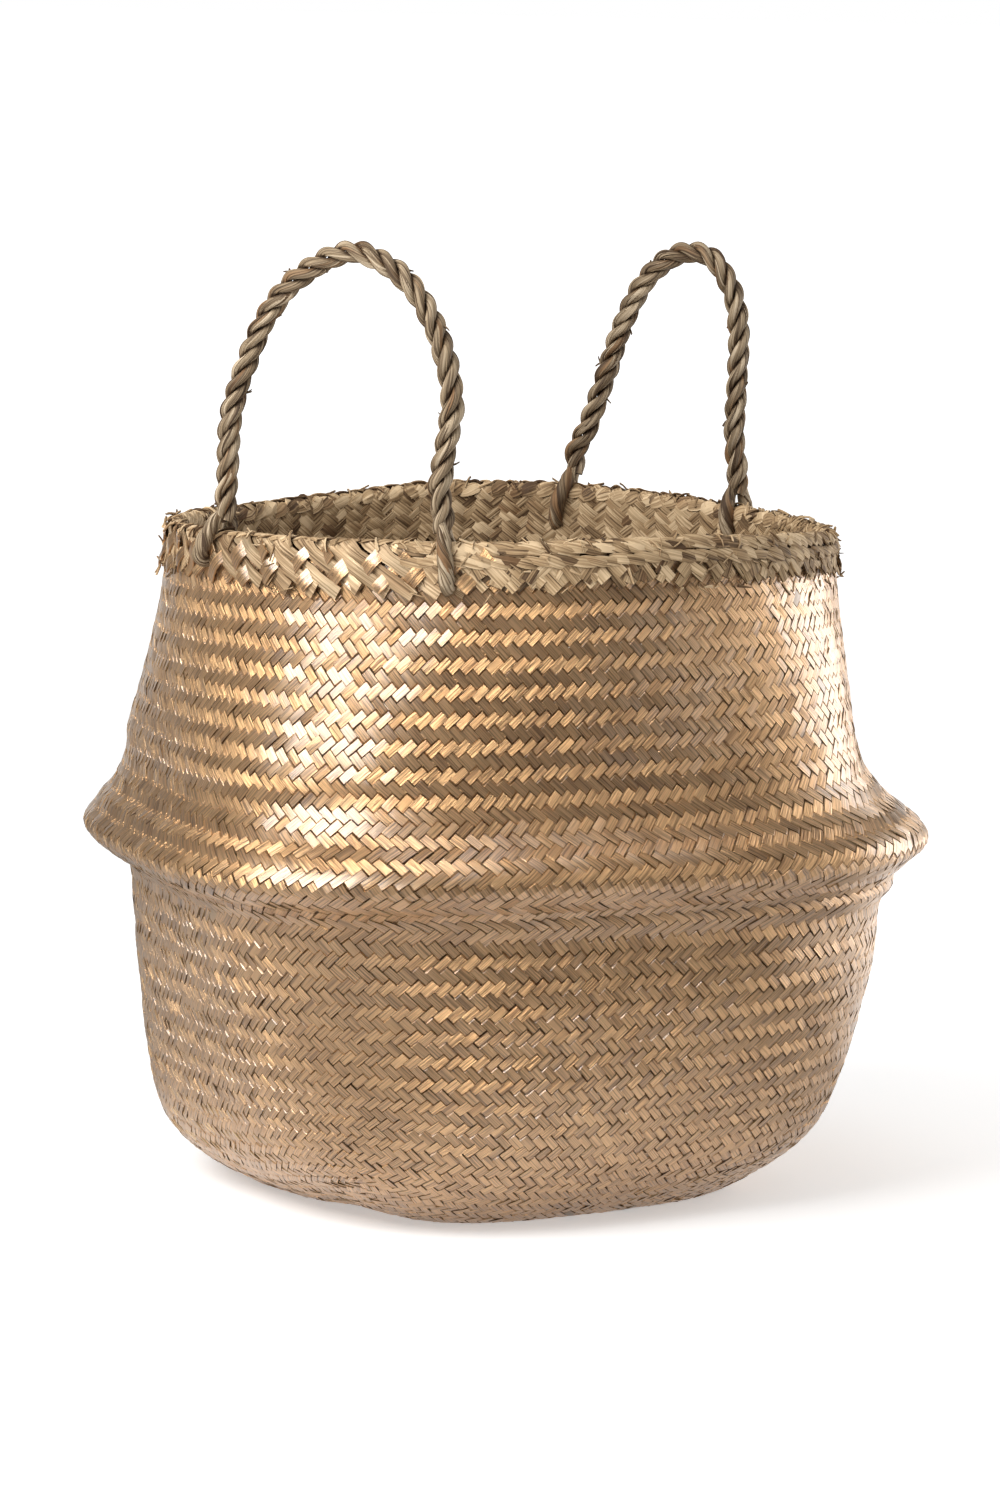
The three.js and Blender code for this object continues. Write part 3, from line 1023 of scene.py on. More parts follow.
@dataclass
class RawBorder:
    """The strand ends turned over the mouth.

    Along the left front they slant down over gold cross strands. Everywhere else two rows
    of nearly level floats run round under the top, over a row of cut tabs. The inside shows
    coarse crossing strands, and short broken ends stand out everywhere. A row of tabs is
    given by its upper and lower end, its width and its step.
    """

    turned_count: int = 80
    turned_width: float = 0.0078
    cross_width: float = 0.0064
    inset: float = 0.0012
    thickness: float = 0.0008
    crown: float = 0.00022
    # Painted shade: how much darker a border strand's under side is, to shade the gaps between strands.
    gap_shade: float = 2.6
    normal_rise: float = 0.12
    tab_rows: tuple[tuple[float, float, float, float], ...] = (
        (0.0090, 0.0195, 0.0058, 0.0066), (0.0086, 0.0166, 0.0060, 0.0070),
    )
    narrow_tabs: int = 60
    fray_count: int = 330
    fall_angle: float = 32.0
    rise_angle: float = 48.0
    reach_out: float = 0.0232
    reach_far_left: float = 0.0165
    reach_in: float = 0.030
    inner_count: int = 144
    inner_angle: float = 38.0
    fold_radius: float = 0.0026
    band_lift: float = 0.0010
    top: float = 0.3172
    slanting_start: float = -163.0
    slanting_end: float = -70.0
    seed: int = 7

    def path(self, down: np.ndarray) -> tuple[np.ndarray, np.ndarray, np.ndarray, np.ndarray]:
        """Section of the border, followed from inside over the top to the outside.

        Down is the length from the top of the fold: a half circle over the wall's edge, then
        straight down each face of the wall, which leans outward as it falls.

        Args:
            down: lengths, above 0 outside and below 0 inside.

        Returns:
            Radius, height, and the outward normal's radial and upward shares.
        """
        arc = self.fold_radius * np.pi / 2
        middle = BODY.mouth[0] - BODY.wall / 2 - self.inset
        side = np.sign(down)
        size = np.abs(down)
        angle = np.clip(size / arc, 0, 1) * np.pi / 2
        centre = self.top - self.fold_radius
        height = centre + self.fold_radius * np.cos(angle) - np.clip(size - arc, 0, None)
        lean = np.where(size > arc, BODY.upper_radius(height) - BODY.upper_radius(centre), 0.0)
        radius = middle + side * self.fold_radius * np.sin(angle) + lean
        normal_z = np.cos(angle) + np.where(size > arc, self.normal_rise * side, 0.0)
        normal_r = side * np.sin(angle)
        whole = np.hypot(normal_r, normal_z)
        return radius, height, normal_r / whole, normal_z / whole

    def place(self, bearing: np.ndarray, down: np.ndarray, lift: np.ndarray) -> np.ndarray:
        """Points over the border.

        Args:
            bearing: angle round the axis.
            down: length from the top of the fold.
            lift: distance outward from the fold's middle surface.

        Returns:
            Points, with a last axis of 3.
        """
        radius, height, normal_r, normal_z = self.path(down)
        reach = radius + lift * normal_r
        x, y = reach * np.cos(bearing), reach * np.sin(bearing)
        return BODY.settle(np.stack([x, y, height + lift * normal_z], axis=-1))

    def ribbon(
        self,
        sweep: Sweep,
        bearing: np.ndarray,
        down: np.ndarray,
        lift: np.ndarray,
        width: np.ndarray,
        slant: float,
        tilt: float,
        tone: float,
        rng: np.random.Generator,
    ) -> None:
        """Adds a flat strand that lies on the border.

        Its edges lie half a width away, square to its slant, in the unrolled border. Its
        under side is painted darker, as painted shade in the gaps between strands.

        Args:
            sweep: mesh that is gathered.
            bearing: angle at each step.
            down: length from the top at each step.
            lift: height over the fold's middle surface.
            width: width at each step.
            slant: angle below level in which the strand runs, in degrees.
            tilt: how much higher its upper edge lies than its lower edge, in metres.
            tone: colour shift.
            rng: seeded source.
        """
        angle = math.radians(slant)
        size = len(down)
        roll = 0.00025 * smooth_noise(rng, size, 5)
        rings = np.empty((size, 5, 3))
        for index, (side, level) in enumerate(((0.5, 1), (0.0, 1), (-0.5, 1), (-0.5, -1), (0.5, -1))):
            offset = side * width
            crown = self.crown if side == 0 else 0.0
            height = lift + level * self.thickness / 2 + crown + side * tilt + roll * np.sign(side)
            turned = bearing + offset * math.sin(angle) / BODY.mouth[0]
            rings[:, index] = self.place(turned, down - offset * math.cos(angle), height)
        run = path_lengths(rings[:, 1])
        across = strip_lengths(float(width.max()), self.thickness)
        # Painted shade: the under side is darker, so the gaps between strands look shaded.
        shade = np.broadcast_to(tone - self.gap_shade * SHADED_UNDER_SIDE, (size, 5))
        sweep.add(rings, run + rng.uniform(0, 3), across + rng.uniform(0, 3), shade)

    def slanting_strands(self, material: Material) -> Piece:
        """Broad strands of the left front that fold over the top and slant down outside.

        Each moves sideways by its fall over the tangent of its slant, and passes under every
        third cross strand. They are shingled: each one's upper edge lies over its neighbour.

        Args:
            material: finish.

        Returns:
            The piece.
        """
        rng = np.random.default_rng(self.seed)
        sweep = Sweep()
        pitch = 2 * np.pi / self.turned_count
        radius = BODY.mouth[0]
        slope = run_per_fall(self.fall_angle)
        rate = (slope + run_per_fall(self.rise_angle)) / (pitch * radius)
        first = int(math.radians(self.slanting_start - 9) / pitch)
        last = int(math.radians(self.slanting_end - 7) / pitch)
        for index in range(first, last + 1):
            near = smooth_step((math.degrees(index * pitch) + 125) / 18)
            end = self.reach_far_left + (self.reach_out - self.reach_far_left) * near
            end = end + rng.uniform(-0.0025, 0.001)
            down = np.linspace(-0.004, end, 34)
            bearing = index * pitch + down * slope / radius + rng.uniform(-0.009, 0.009)
            wave = -np.cos(2 * np.pi * (2 * index + down * rate) / 3)
            over_top = np.exp(-((down / 0.004) ** 2))
            lift = self.band_lift - 0.0006 * (1 - near)
            lift = lift + 0.0009 * wave * (1 - over_top) + 0.0002 * over_top
            loose = smooth_step((down - end + 0.007) / 0.008)
            lift = lift + loose * rng.uniform(0.0001, 0.0012) * (0.3 + 0.7 * near)
            width = self.turned_width * rng.uniform(0.72, 1.08)
            width = width * (1 - 0.14 * np.abs(smooth_noise(rng, 34, 6)))
            width = width * (0.75 + 0.25 * smooth_step((down + 0.004) / 0.005))
            tone = rng.uniform(-1, 1)
            self.ribbon(sweep, bearing, down, lift, width, self.fall_angle, 0.0009, tone, rng)
        return sweep.build("rim_slanting_strands", [material], 40)

    def gold_cross_strands(self, material: Material) -> Piece:
        """Painted strands that rise between the slanting ones along the left front.

        Args:
            material: finish.

        Returns:
            The piece.
        """
        rng = np.random.default_rng(self.seed + 11)
        sweep = Sweep()
        pitch = 2 * np.pi / self.turned_count
        radius = BODY.mouth[0]
        fall, rise = run_per_fall(self.fall_angle), run_per_fall(self.rise_angle)
        rate = (fall + rise) / (pitch * radius)
        first = int(math.radians(self.slanting_start) / pitch)
        last = int(math.radians(self.slanting_end + 9) / pitch)
        for index in range(first, last + 1):
            down = np.linspace(0.005, 0.0205 + rng.uniform(-0.001, 0.001), 24)
            bearing = index * pitch - down * rise / radius + rng.uniform(-0.004, 0.004)
            wave = np.cos(2 * np.pi * (2 * index - down * rate) / 3)
            far_left = math.degrees(index * pitch) < -140
            lift = self.band_lift + 0.0004 + 0.0011 * wave - 0.0008 * far_left
            width = self.cross_width * rng.uniform(0.8, 1.15) * np.ones(24)
            tone = rng.uniform(-1, 1)
            self.ribbon(sweep, bearing, down, lift, width, 180 - self.rise_angle, 0.0, tone, rng)
        return sweep.build("rim_gold_cross_strands", [material], 40)

    def inner_strands(self, material: Material) -> Piece:
        """Coarse crossing strands on the inside of the mouth, in a plain twill.

        Args:
            material: finish.

        Returns:
            The piece.
        """
        rng = np.random.default_rng(self.seed + 12)
        sweep = Sweep()
        pitch = 2 * np.pi / self.inner_count
        radius = BODY.mouth[0]
        slope = run_per_fall(self.inner_angle)
        rate = 2 * slope / (pitch * radius)
        for family in (1, -1):
            for index in range(self.inner_count):
                down = -np.linspace(0.002, self.reach_in + rng.uniform(-0.003, 0.001), 22)
                bearing = index * pitch + family * down * slope / radius + rng.uniform(-0.009, 0.009)
                wave = family * np.cos(2 * np.pi * (2 * index + family * down * rate + 0.5) / 4)
                lift = self.band_lift + 0.0006 * np.tanh(2 * wave) + 0.0002 * family
                width = (0.0054 + 0.0013 * family) * rng.uniform(0.75, 1.15)
                width = width * (1 - 0.1 * np.abs(smooth_noise(rng, 22, 6)))
                slant = 180 + self.inner_angle if family > 0 else 360 - self.inner_angle
                tone = rng.uniform(-1, 1)
                self.ribbon(sweep, bearing, down, lift, width, slant, 0.0003 * family, tone, rng)
        return sweep.build("rim_inner_strands", [material], 40)

    def level_floats(self, material: Material) -> Piece:
        """Rows of nearly level floats, each a lens that rises from under the last one.

        A float's width and lift follow the sine of its length share, so its ends dive.

        Args:
            material: finish.

        Returns:
            The piece.
        """
        rng = np.random.default_rng(self.seed + 13)
        sweep = Sweep()
        after, before = self.slanting_end - 3, self.slanting_start + 363
        inside = (self.slanting_start - 3, self.slanting_end + 3)
        rows = (
            RowOfFloats(0.0028, 12, 0.0165, 0.0048, 0.0068, 0.0006, after, before),
            RowOfFloats(0.0082, 14, 0.0150, 0.0046, 0.0064, 0.0010, after, before),
            RowOfFloats(-0.0012, -14, 0.0150, 0.0048, 0.0072, 0.0004, *inside),
            RowOfFloats(-0.0040, -16, 0.0150, 0.0052, 0.0078, 0.0005),
        )
        radius = BODY.mouth[0]
        share = np.linspace(0, 1, 9)
        body = np.sin(np.pi * share) ** 0.6
        for row in rows:
            turn = math.radians(row.end - row.start)
            count = round(turn * radius / row.step)
            for index in range(count):
                at = math.radians(row.start) + turn * index / count
                ragged = smooth_step((math.sin(at + 0.2) + 0.1) / 0.5)
                slant = row.slant + rng.normal(0, 4.5) + (9 * ragged if row.down > 0 else 0)
                angle = math.radians(slant)
                length = row.length * rng.uniform(0.75, 1.1) * (1 - 0.25 * ragged)
                along = (share - 0.5) * length
                bearing = at + along * math.cos(angle) / radius
                down = row.down + along * math.sin(angle) + rng.normal(0, 0.0004)
                width = row.width * rng.uniform(0.75, 1.12) * (0.5 + 0.5 * body)
                lift = row.lift + 0.0014 * body + rng.uniform(-0.0002, 0.0003)
                tilt, tone = rng.uniform(-0.0002, 0.0009), rng.uniform(-1, 1)
                self.ribbon(sweep, bearing, down, lift, width, slant, tilt, tone, rng)
        return sweep.build("rim_level_floats", [material], 40)

    def cut_tabs(self, material: Material) -> Piece:
        """Squarish cut ends that hang under the floats, and narrow ones at the far left.

        Args:
            material: finish.

        Returns:
            The piece.
        """
        rng = np.random.default_rng(self.seed + 14)
        sweep = Sweep()
        radius = BODY.mouth[0]
        after, before = self.slanting_end - 2, self.slanting_start + 362
        share = np.linspace(0, 1, 8)
        turn = math.radians(before - after)
        for layer, (top, low, wide, step) in enumerate(self.tab_rows):
            count = round(turn * radius / step)
            for index in range(count):
                slant = rng.choice([48, 125, 55]) + rng.normal(0, 7)
                end = low + rng.uniform(-0.0026, 0.0016)
                down = top + (end - top) * share
                start = math.radians(after) + turn * (index + 0.5 * layer) / count
                start = start + rng.normal(0, 0.004)
                bearing = start + (down - top) / math.tan(math.radians(slant)) / radius
                curl = rng.uniform(0, 0.0016) if rng.random() < 0.6 else 0.0
                lift = self.band_lift - 0.0003 + 0.0006 * layer + curl * share**2
                width = wide * rng.uniform(0.65, 1.1) * np.ones(8)
                tilt, tone = rng.uniform(-0.0004, 0.0006), rng.uniform(-1, 1)
                self.ribbon(sweep, bearing, down, lift, width, slant, tilt, tone, rng)
        top = 0.010
        for index in range(self.narrow_tabs):
            slant = rng.normal(72, 9)
            start = math.radians(self.slanting_start + 4 + 34 * index / self.narrow_tabs)
            start = start + rng.normal(0, 0.006)
            down = top + (0.0090 + rng.uniform(-0.002, 0.002)) * share
            bearing = start + (down - top) / math.tan(math.radians(slant)) / radius
            lift = self.band_lift - 0.0002 + rng.uniform(0.0001, 0.0012) * share**2
            width = rng.uniform(0.0016, 0.0036) * (1 - 0.4 * share**3)
            self.ribbon(sweep, bearing, down, lift, width, slant, 0.0, rng.uniform(-1, 1), rng)
        return sweep.build("rim_cut_tabs", [material], 40)

    def frays(self, material: Material) -> Piece:
        """Short broken fibres that stand out of the border.

        Args:
            material: finish.

        Returns:
            The piece.
        """
        rng = np.random.default_rng(self.seed + 15)
        sweep = Sweep()
        radius = BODY.mouth[0]
        share = np.linspace(0, 1, 6)
        for _ in range(self.fray_count):
            start = rng.uniform(0, 2 * np.pi)
            at = rng.choice([0.001, 0.004, -0.003, 0.012, 0.022], p=[0.3, 0.2, 0.2, 0.15, 0.15])
            slant = rng.uniform(-60, 240)
            length = rng.uniform(0.003, 0.0075)
            angle = math.radians(slant)
            down = at + math.sin(angle) * length * share
            bearing = start + math.cos(angle) * length * share / radius
            lift = self.band_lift + 0.0008 + rng.uniform(0.0004, 0.0026) * share**1.3
            width = rng.uniform(0.0005, 0.0016) * (1 - 0.6 * share)
            self.ribbon(sweep, bearing, down, lift, width, slant, 0.0, rng.uniform(-1, 1), rng)
        return sweep.build("rim_frayed_ends", [material], 40)


# Rope handles


def side_frame(path: np.ndarray, reference: np.ndarray) -> tuple[np.ndarray, np.ndarray, np.ndarray]:
    """Directions along and square to a path.

    Args:
        path: points.
        reference: direction, or one for each point, that the path never follows.

    Returns:
        Unit vectors along the path, square to it and the reference, and square to both.
    """
    along = np.gradient(path, axis=0)
    along /= np.linalg.norm(along, axis=1, keepdims=True)
    beside = np.cross(along, np.broadcast_to(reference, along.shape))
    beside /= np.linalg.norm(beside, axis=1, keepdims=True)
    return along, beside, np.cross(beside, along)


def ring_angles(count: int) -> np.ndarray:
    """Angles of the corners of a closed section, evenly spaced."""
    return 2 * np.pi * np.arange(count) / count


@dataclass(frozen=True)
class Yarn:
    """One ply of a seagrass rope: flat leaves twisted together. Turns over 0 are right-handed."""

    turns_per_metre: float
    leaves: int
    corners: int = 7
    half_thick: float = 0.40
    widths: Pair = (0.62, 0.92)
    thicks: Pair = (0.9, 1.1)
    # Painted shade: darkening along each leaf's edges, for the grooves between leaves, and near the
    # rope's middle, for the crevices between plies.
    leaf_edge_shade: float = 1.1
    crevice_shade: float = 2.4
    crevice_radius: float = 0.0043
    crevice_fade: float = 0.0012

    def lay(
        self,
        sweep: Sweep,
        path: np.ndarray,
        reference: np.ndarray,
        radius: np.ndarray,
        rng: np.random.Generator,
        axis: np.ndarray | None = None,
    ) -> None:
        """Lays the leaves round a path.

        Leaf k runs at the angle a = 2 pi (k / leaves - turns x length), a little inside the
        ply's radius, and its flat section lies against the ply. A leaf is painted darker along
        its edges, as painted shade in the grooves between leaves, and darkest where it lies near
        the rope's middle, as painted shade in the crevices between the plies.

        Args:
            sweep: mesh that is gathered.
            path: middle line of the ply, evenly spaced.
            reference: direction that the path never follows.
            radius: the ply's radius at each point.
            rng: seeded source.
            axis: the rope's middle line, if the ply is part of a rope.
        """
        _, beside, third = side_frame(path, reference)
        size = len(path)
        run = path_lengths(path)
        corners = ring_angles(self.corners)
        level, height = np.cos(corners)[None, :, None], np.sin(corners)[None, :, None]
        girth = np.linspace(0, 2 * np.pi * float(radius.mean()) * 0.6, self.corners + 1)
        for leaf in range(self.leaves):
            drift = 0.35 * smooth_noise(rng, size, 9)
            angle = 2 * np.pi * (leaf / self.leaves - self.turns_per_metre * run) + drift
            out = np.cos(angle)[:, None] * beside + np.sin(angle)[:, None] * third
            tangent = -np.sin(angle)[:, None] * beside + np.cos(angle)[:, None] * third
            bulge = 1 + 0.10 * smooth_noise(rng, size, 7)
            centre = path + out * (radius * (1 - self.half_thick) * bulge)[:, None]
            wide = radius * rng.uniform(*self.widths) * (1 + 0.15 * smooth_noise(rng, size, 11))
            thick = radius * self.half_thick * rng.uniform(*self.thicks)
            roll = 0.3 * smooth_noise(rng, size, 10)
            across = level * (wide * np.cos(roll))[:, None, None] * tangent[:, None]
            across = across + level * (wide * np.sin(roll))[:, None, None] * out[:, None]
            rings = centre[:, None] + across + height * thick[:, None, None] * out[:, None]
            tone = 0.6 * rng.uniform(-1, 1) + 0.5 * smooth_noise(rng, size, 14)
            # Painted shade: the leaf's edges are darker, for the grooves between leaves.
            shade = tone[:, None] - self.leaf_edge_shade * (np.abs(np.cos(corners)) > 0.85)[None, :]
            if axis is not None:
                apart = np.linalg.norm(rings - axis[:, None], axis=-1)
                inside = smooth_step((self.crevice_radius - apart) / self.crevice_fade)
                # Painted shade: darker near the rope's middle, in the crevices between the plies.
                shade = shade - self.crevice_shade * inside
            sweep.add(rings, run + rng.uniform(0, 3), girth + rng.uniform(0, 3), shade)


ROPE_PLY = Yarn(turns_per_metre=-16.0, leaves=6)
EYE_PLY = Yarn(turns_per_metre=-24.0, leaves=7)


@dataclass
class RopeHandle:
    """A three-ply rope that stands up from the border as an arch.

    The shares give the arch's middle line, across as shares of the half span and up as
    shares of its height. The strays are places along the rope, as shares, and angles round
    it. An eye's loop is given in millimetres outward and up from the rim.
    """

    name: str
    side: int
    half_span: float
    arch_height: float
    shares: tuple[Pair, ...]
    strays: tuple[Pair, ...]
    eye_lean: Pair
    eye_reach: Pair
    seed: int
    hinge_height: float = 0.3345
    foot: float = 0.0105
    bend_below: float = 0.007
    bend_above: float = 0.012
    ply_offset: float = 0.0030
    ply_radius: float = 0.0023
    pitch: float = 0.031
    foot_circle: float = 0.1573
    foot_draw: float = 0.9985
    rim_centre: float = 0.3175
    eye_radius: float = 0.0034
    eye_loop: tuple[Pair, ...] = (
        (0.6, 12.5), (2.0, 10.0), (4.2, 6.5), (5.8, 1.5), (6.4, -5.0), (6.5, -12.0), (5.9, -18.5),
        (3.8, -22.6), (0.0, -23.8), (-4.2, -22.8), (-6.4, -18.5), (-6.7, -12.0), (-6.4, -4.0),
        (-5.6, 2.5), (-4.0, 7.0), (-1.9, 10.2), (-0.6, 12.5),
    )

    def foot_place(self, end: int) -> np.ndarray:
        """Foot of the rope at the hinge's height.

        Args:
            end: -1 for left and 1 for right.

        Returns:
            The point.
        """
        angle = math.asin(self.half_span / self.foot_circle)
        circle = self.foot_circle * self.foot_draw
        x, y = end * circle * math.sin(angle), self.side * circle * math.cos(angle)
        return np.array([x, y, self.hinge_height])

    def sagged(self, point: np.ndarray) -> np.ndarray:
        """Moves a foot with the rim, as the soft body lets it sag.

        Args:
            point: the foot.

        Returns:
            The moved foot.
        """
        lowered = point.copy()
        lowered[2] = self.rim_centre
        return point + (BODY.settle(lowered) - lowered)

    def middle_line(self) -> tuple[np.ndarray, np.ndarray]:
        """Middle line of the rope, from foot to foot.

        Returns:
            Evenly spaced points, and the length at each.
        """
        left, right = self.foot_place(-1), self.foot_place(1)
        down = np.array([0, 0, self.foot])
        arch = np.array([
            [across * self.half_span, left[1], self.hinge_height + up * self.arch_height]
            for across, up in self.shares
        ])
        low_left, low_right = self.sagged(left), self.sagged(right)
        arch = arch + BODY.lean(arch[:, 2])[:, None] * BODY.lean_direction()
        line = np.vstack([low_left - down, low_left, arch, low_right, low_right - down])
        return even_lengths(catmull_rom(line, 24, 0.5), 0.0011)

    def ply_line(
        self,
        number: int,
        turn: np.ndarray,
        middle: np.ndarray,
        run: np.ndarray,
        rng: np.random.Generator,
    ) -> np.ndarray:
        """Middle line of one ply: a right-handed helix round the rope's middle.

        Args:
            number: the ply's number, from 0.
            turn: the rope's own uneven turn at each point.
            middle: the rope's middle line.
            run: length at each point.
            rng: seeded source.

        Returns:
            Points.
        """
        _, beside, _ = side_frame(middle, ACROSS_ROPE)
        angle = 2 * np.pi * (run / self.pitch + number / 3) + turn
        ends = np.minimum(run, run[-1] - run)
        offset = self.ply_offset * (0.7 + 0.3 * smooth_step(ends / 0.007))
        offset = offset * (1 + 0.06 * smooth_noise(rng, len(run), 16))
        level = (offset * np.cos(angle))[:, None] * ACROSS_ROPE
        return middle + level + (offset * np.sin(angle))[:, None] * beside

    def plies(self, material: Material) -> list[Piece]:
        """Makes the three plies.

        Args:
            material: finish.

        Returns:
            The pieces.
        """
        rng = np.random.default_rng(self.seed)
        middle, run = self.middle_line()
        turn = 0.35 * smooth_noise(rng, len(run), 26)
        made = []
        for number in range(3):
            sweep = Sweep()
            path = self.ply_line(number, turn, middle, run, rng)
            radius = self.ply_radius * (1 + 0.07 * smooth_noise(rng, len(run), 12))
            ROPE_PLY.lay(sweep, path, ACROSS_ROPE, radius, rng, middle)
            if number == 0:
                self.add_strays(sweep, middle, rng)
            made.append(sweep.build(f"{self.name}_ply_leaves_{number + 1}", [material], 70))
        return made

    def add_strays(self, sweep: Sweep, middle: np.ndarray, rng: np.random.Generator) -> None:
        """Adds the short broken ends that stick out of the rope, one or two at a place.

        Args:
            sweep: mesh that is gathered.
            middle: the rope's middle line.
            rng: seeded source.
        """
        along, beside, _ = side_frame(middle, ACROSS_ROPE)
        steps = np.linspace(0, 1, 7)[:, None]
        corners = ring_angles(7)[None, :, None]
        for share, bearing in self.strays:
            at = int(share * (len(middle) - 1))
            angle = math.radians(bearing)
            out = math.cos(angle) * beside[at] + math.sin(angle) * ACROSS_ROPE
            for _ in range(rng.integers(1, 3)):
                forward = along[at] * rng.choice([-1, 1]) * rng.uniform(0.5, 1.1)
                forward = forward + rng.normal(0, 0.15, 3)
                reach = rng.uniform(0.0014, 0.0032)
                path = middle[at] + out * (0.0042 + reach * steps) + forward * reach * steps**1.6
                tip = 0.0009 * rng.uniform(0.6, 1.1) * (1 - 0.5 * steps[:, 0])
                _, wide, thick = side_frame(path, np.array([0.1, 1.0, 0.2]))
                rings = (
                    path[:, None]
                    + np.cos(corners) * tip[:, None, None] * wide[:, None]
                    - np.sin(corners) * tip[:, None, None] * 0.5 * thick[:, None]
                )
                sweep.add(rings, steps[:, 0] * reach, np.linspace(0, 0.003, 8), np.full(7, -1.6))

    def eye(self, end: int, material: Material) -> Piece:
        """Makes the single ply that holds one foot: down outside, through the wall, up inside.

        Args:
            end: -1 for left and 1 for right.
            material: finish.

        Returns:
            The piece.
        """
        rng = np.random.default_rng(self.seed + 20 + end)
        side = (end + 1) // 2
        foot = self.sagged(self.foot_place(end))
        outward = np.array([foot[0], foot[1], 0.0]) / math.hypot(foot[0], foot[1])
        around = np.array([-outward[1], outward[0], 0.0])
        flat = np.array(self.eye_loop) * MM
        flat[:, 1] *= np.where(flat[:, 1] < 0, self.eye_reach[side], 1.0)
        height = self.rim_centre + flat[:, 1]
        lean = BODY.upper_radius(np.minimum(height, BODY.mouth[1])) - BODY.mouth[0]
        sideways = self.eye_lean[side] * np.clip((12 * MM - flat[:, 1]) / (24 * MM), 0, 1)
        base = np.array([foot[0], foot[1], foot[2] - self.hinge_height + self.rim_centre])
        line = base + (flat[:, :1] + lean[:, None]) * outward + flat[:, 1:] * np.array([0, 0, 1.0])
        line = line + sideways[:, None] * around
        path, run = even_lengths(catmull_rom(line, 12, 0.5), 0.0009)
        sweep = Sweep()
        ends = np.minimum(run, run[-1] - run)
        radius = self.eye_radius * (0.55 + 0.45 * smooth_step(ends / 0.014))
        radius = radius * (1 + 0.07 * smooth_noise(rng, len(run), 10))
        EYE_PLY.lay(sweep, path, around, radius, rng)
        return sweep.build(f"{self.name}_{('left', 'right')[side]}_eye_leaves", [material], 70)


FRONT_HANDLE = RopeHandle(
    name="front",
    side=-1,
    half_span=0.059,
    arch_height=0.119,
    shares=(
        (-0.94, 0.17), (-0.89, 0.38), (-0.75, 0.57), (-0.51, 0.785), (-0.22, 0.915), (0.19, 1.0),
        (0.48, 0.97), (0.75, 0.88), (0.95, 0.74), (1.11, 0.5), (1.06, 0.27), (1.0, 0.12),
    ),
    strays=(
        (0.46, 180), (0.335, 180), (0.40, 0), (0.70, 0), (0.83, 180), (0.2, 150), (0.6, 60), (0.9, 20),
    ),
    eye_lean=(-0.013, 0.003),
    eye_reach=(0.5, 0.8),
    seed=301,
)
BACK_HANDLE = RopeHandle(
    name="back",
    side=1,
    half_span=0.046,
    arch_height=0.102,
    shares=(
        (-0.81, 0.13), (-0.65, 0.31), (-0.39, 0.62), (-0.11, 0.845), (0.15, 0.955), (0.42, 1.0),
        (0.7, 0.98), (0.95, 0.84), (1.05, 0.64), (1.02, 0.3), (1.0, 0.1),
    ),
    strays=(
        (0.69, 180), (0.16, 180), (0.80, 0), (0.22, 0), (0.3, 170), (0.5, 140), (0.87, 180), (0.42, 30),
    ),
    eye_lean=(0.009, 0.001),
    eye_reach=(0.8, 0.8),
    seed=401,
)


# Studio


@dataclass(frozen=True)
class Softbox:
    """One area light: its bearing from the camera's, elevation, distance, size and watts."""

    name: str
    turn: float
    elevation: float
    distance: float
    size: Pair
    power: float


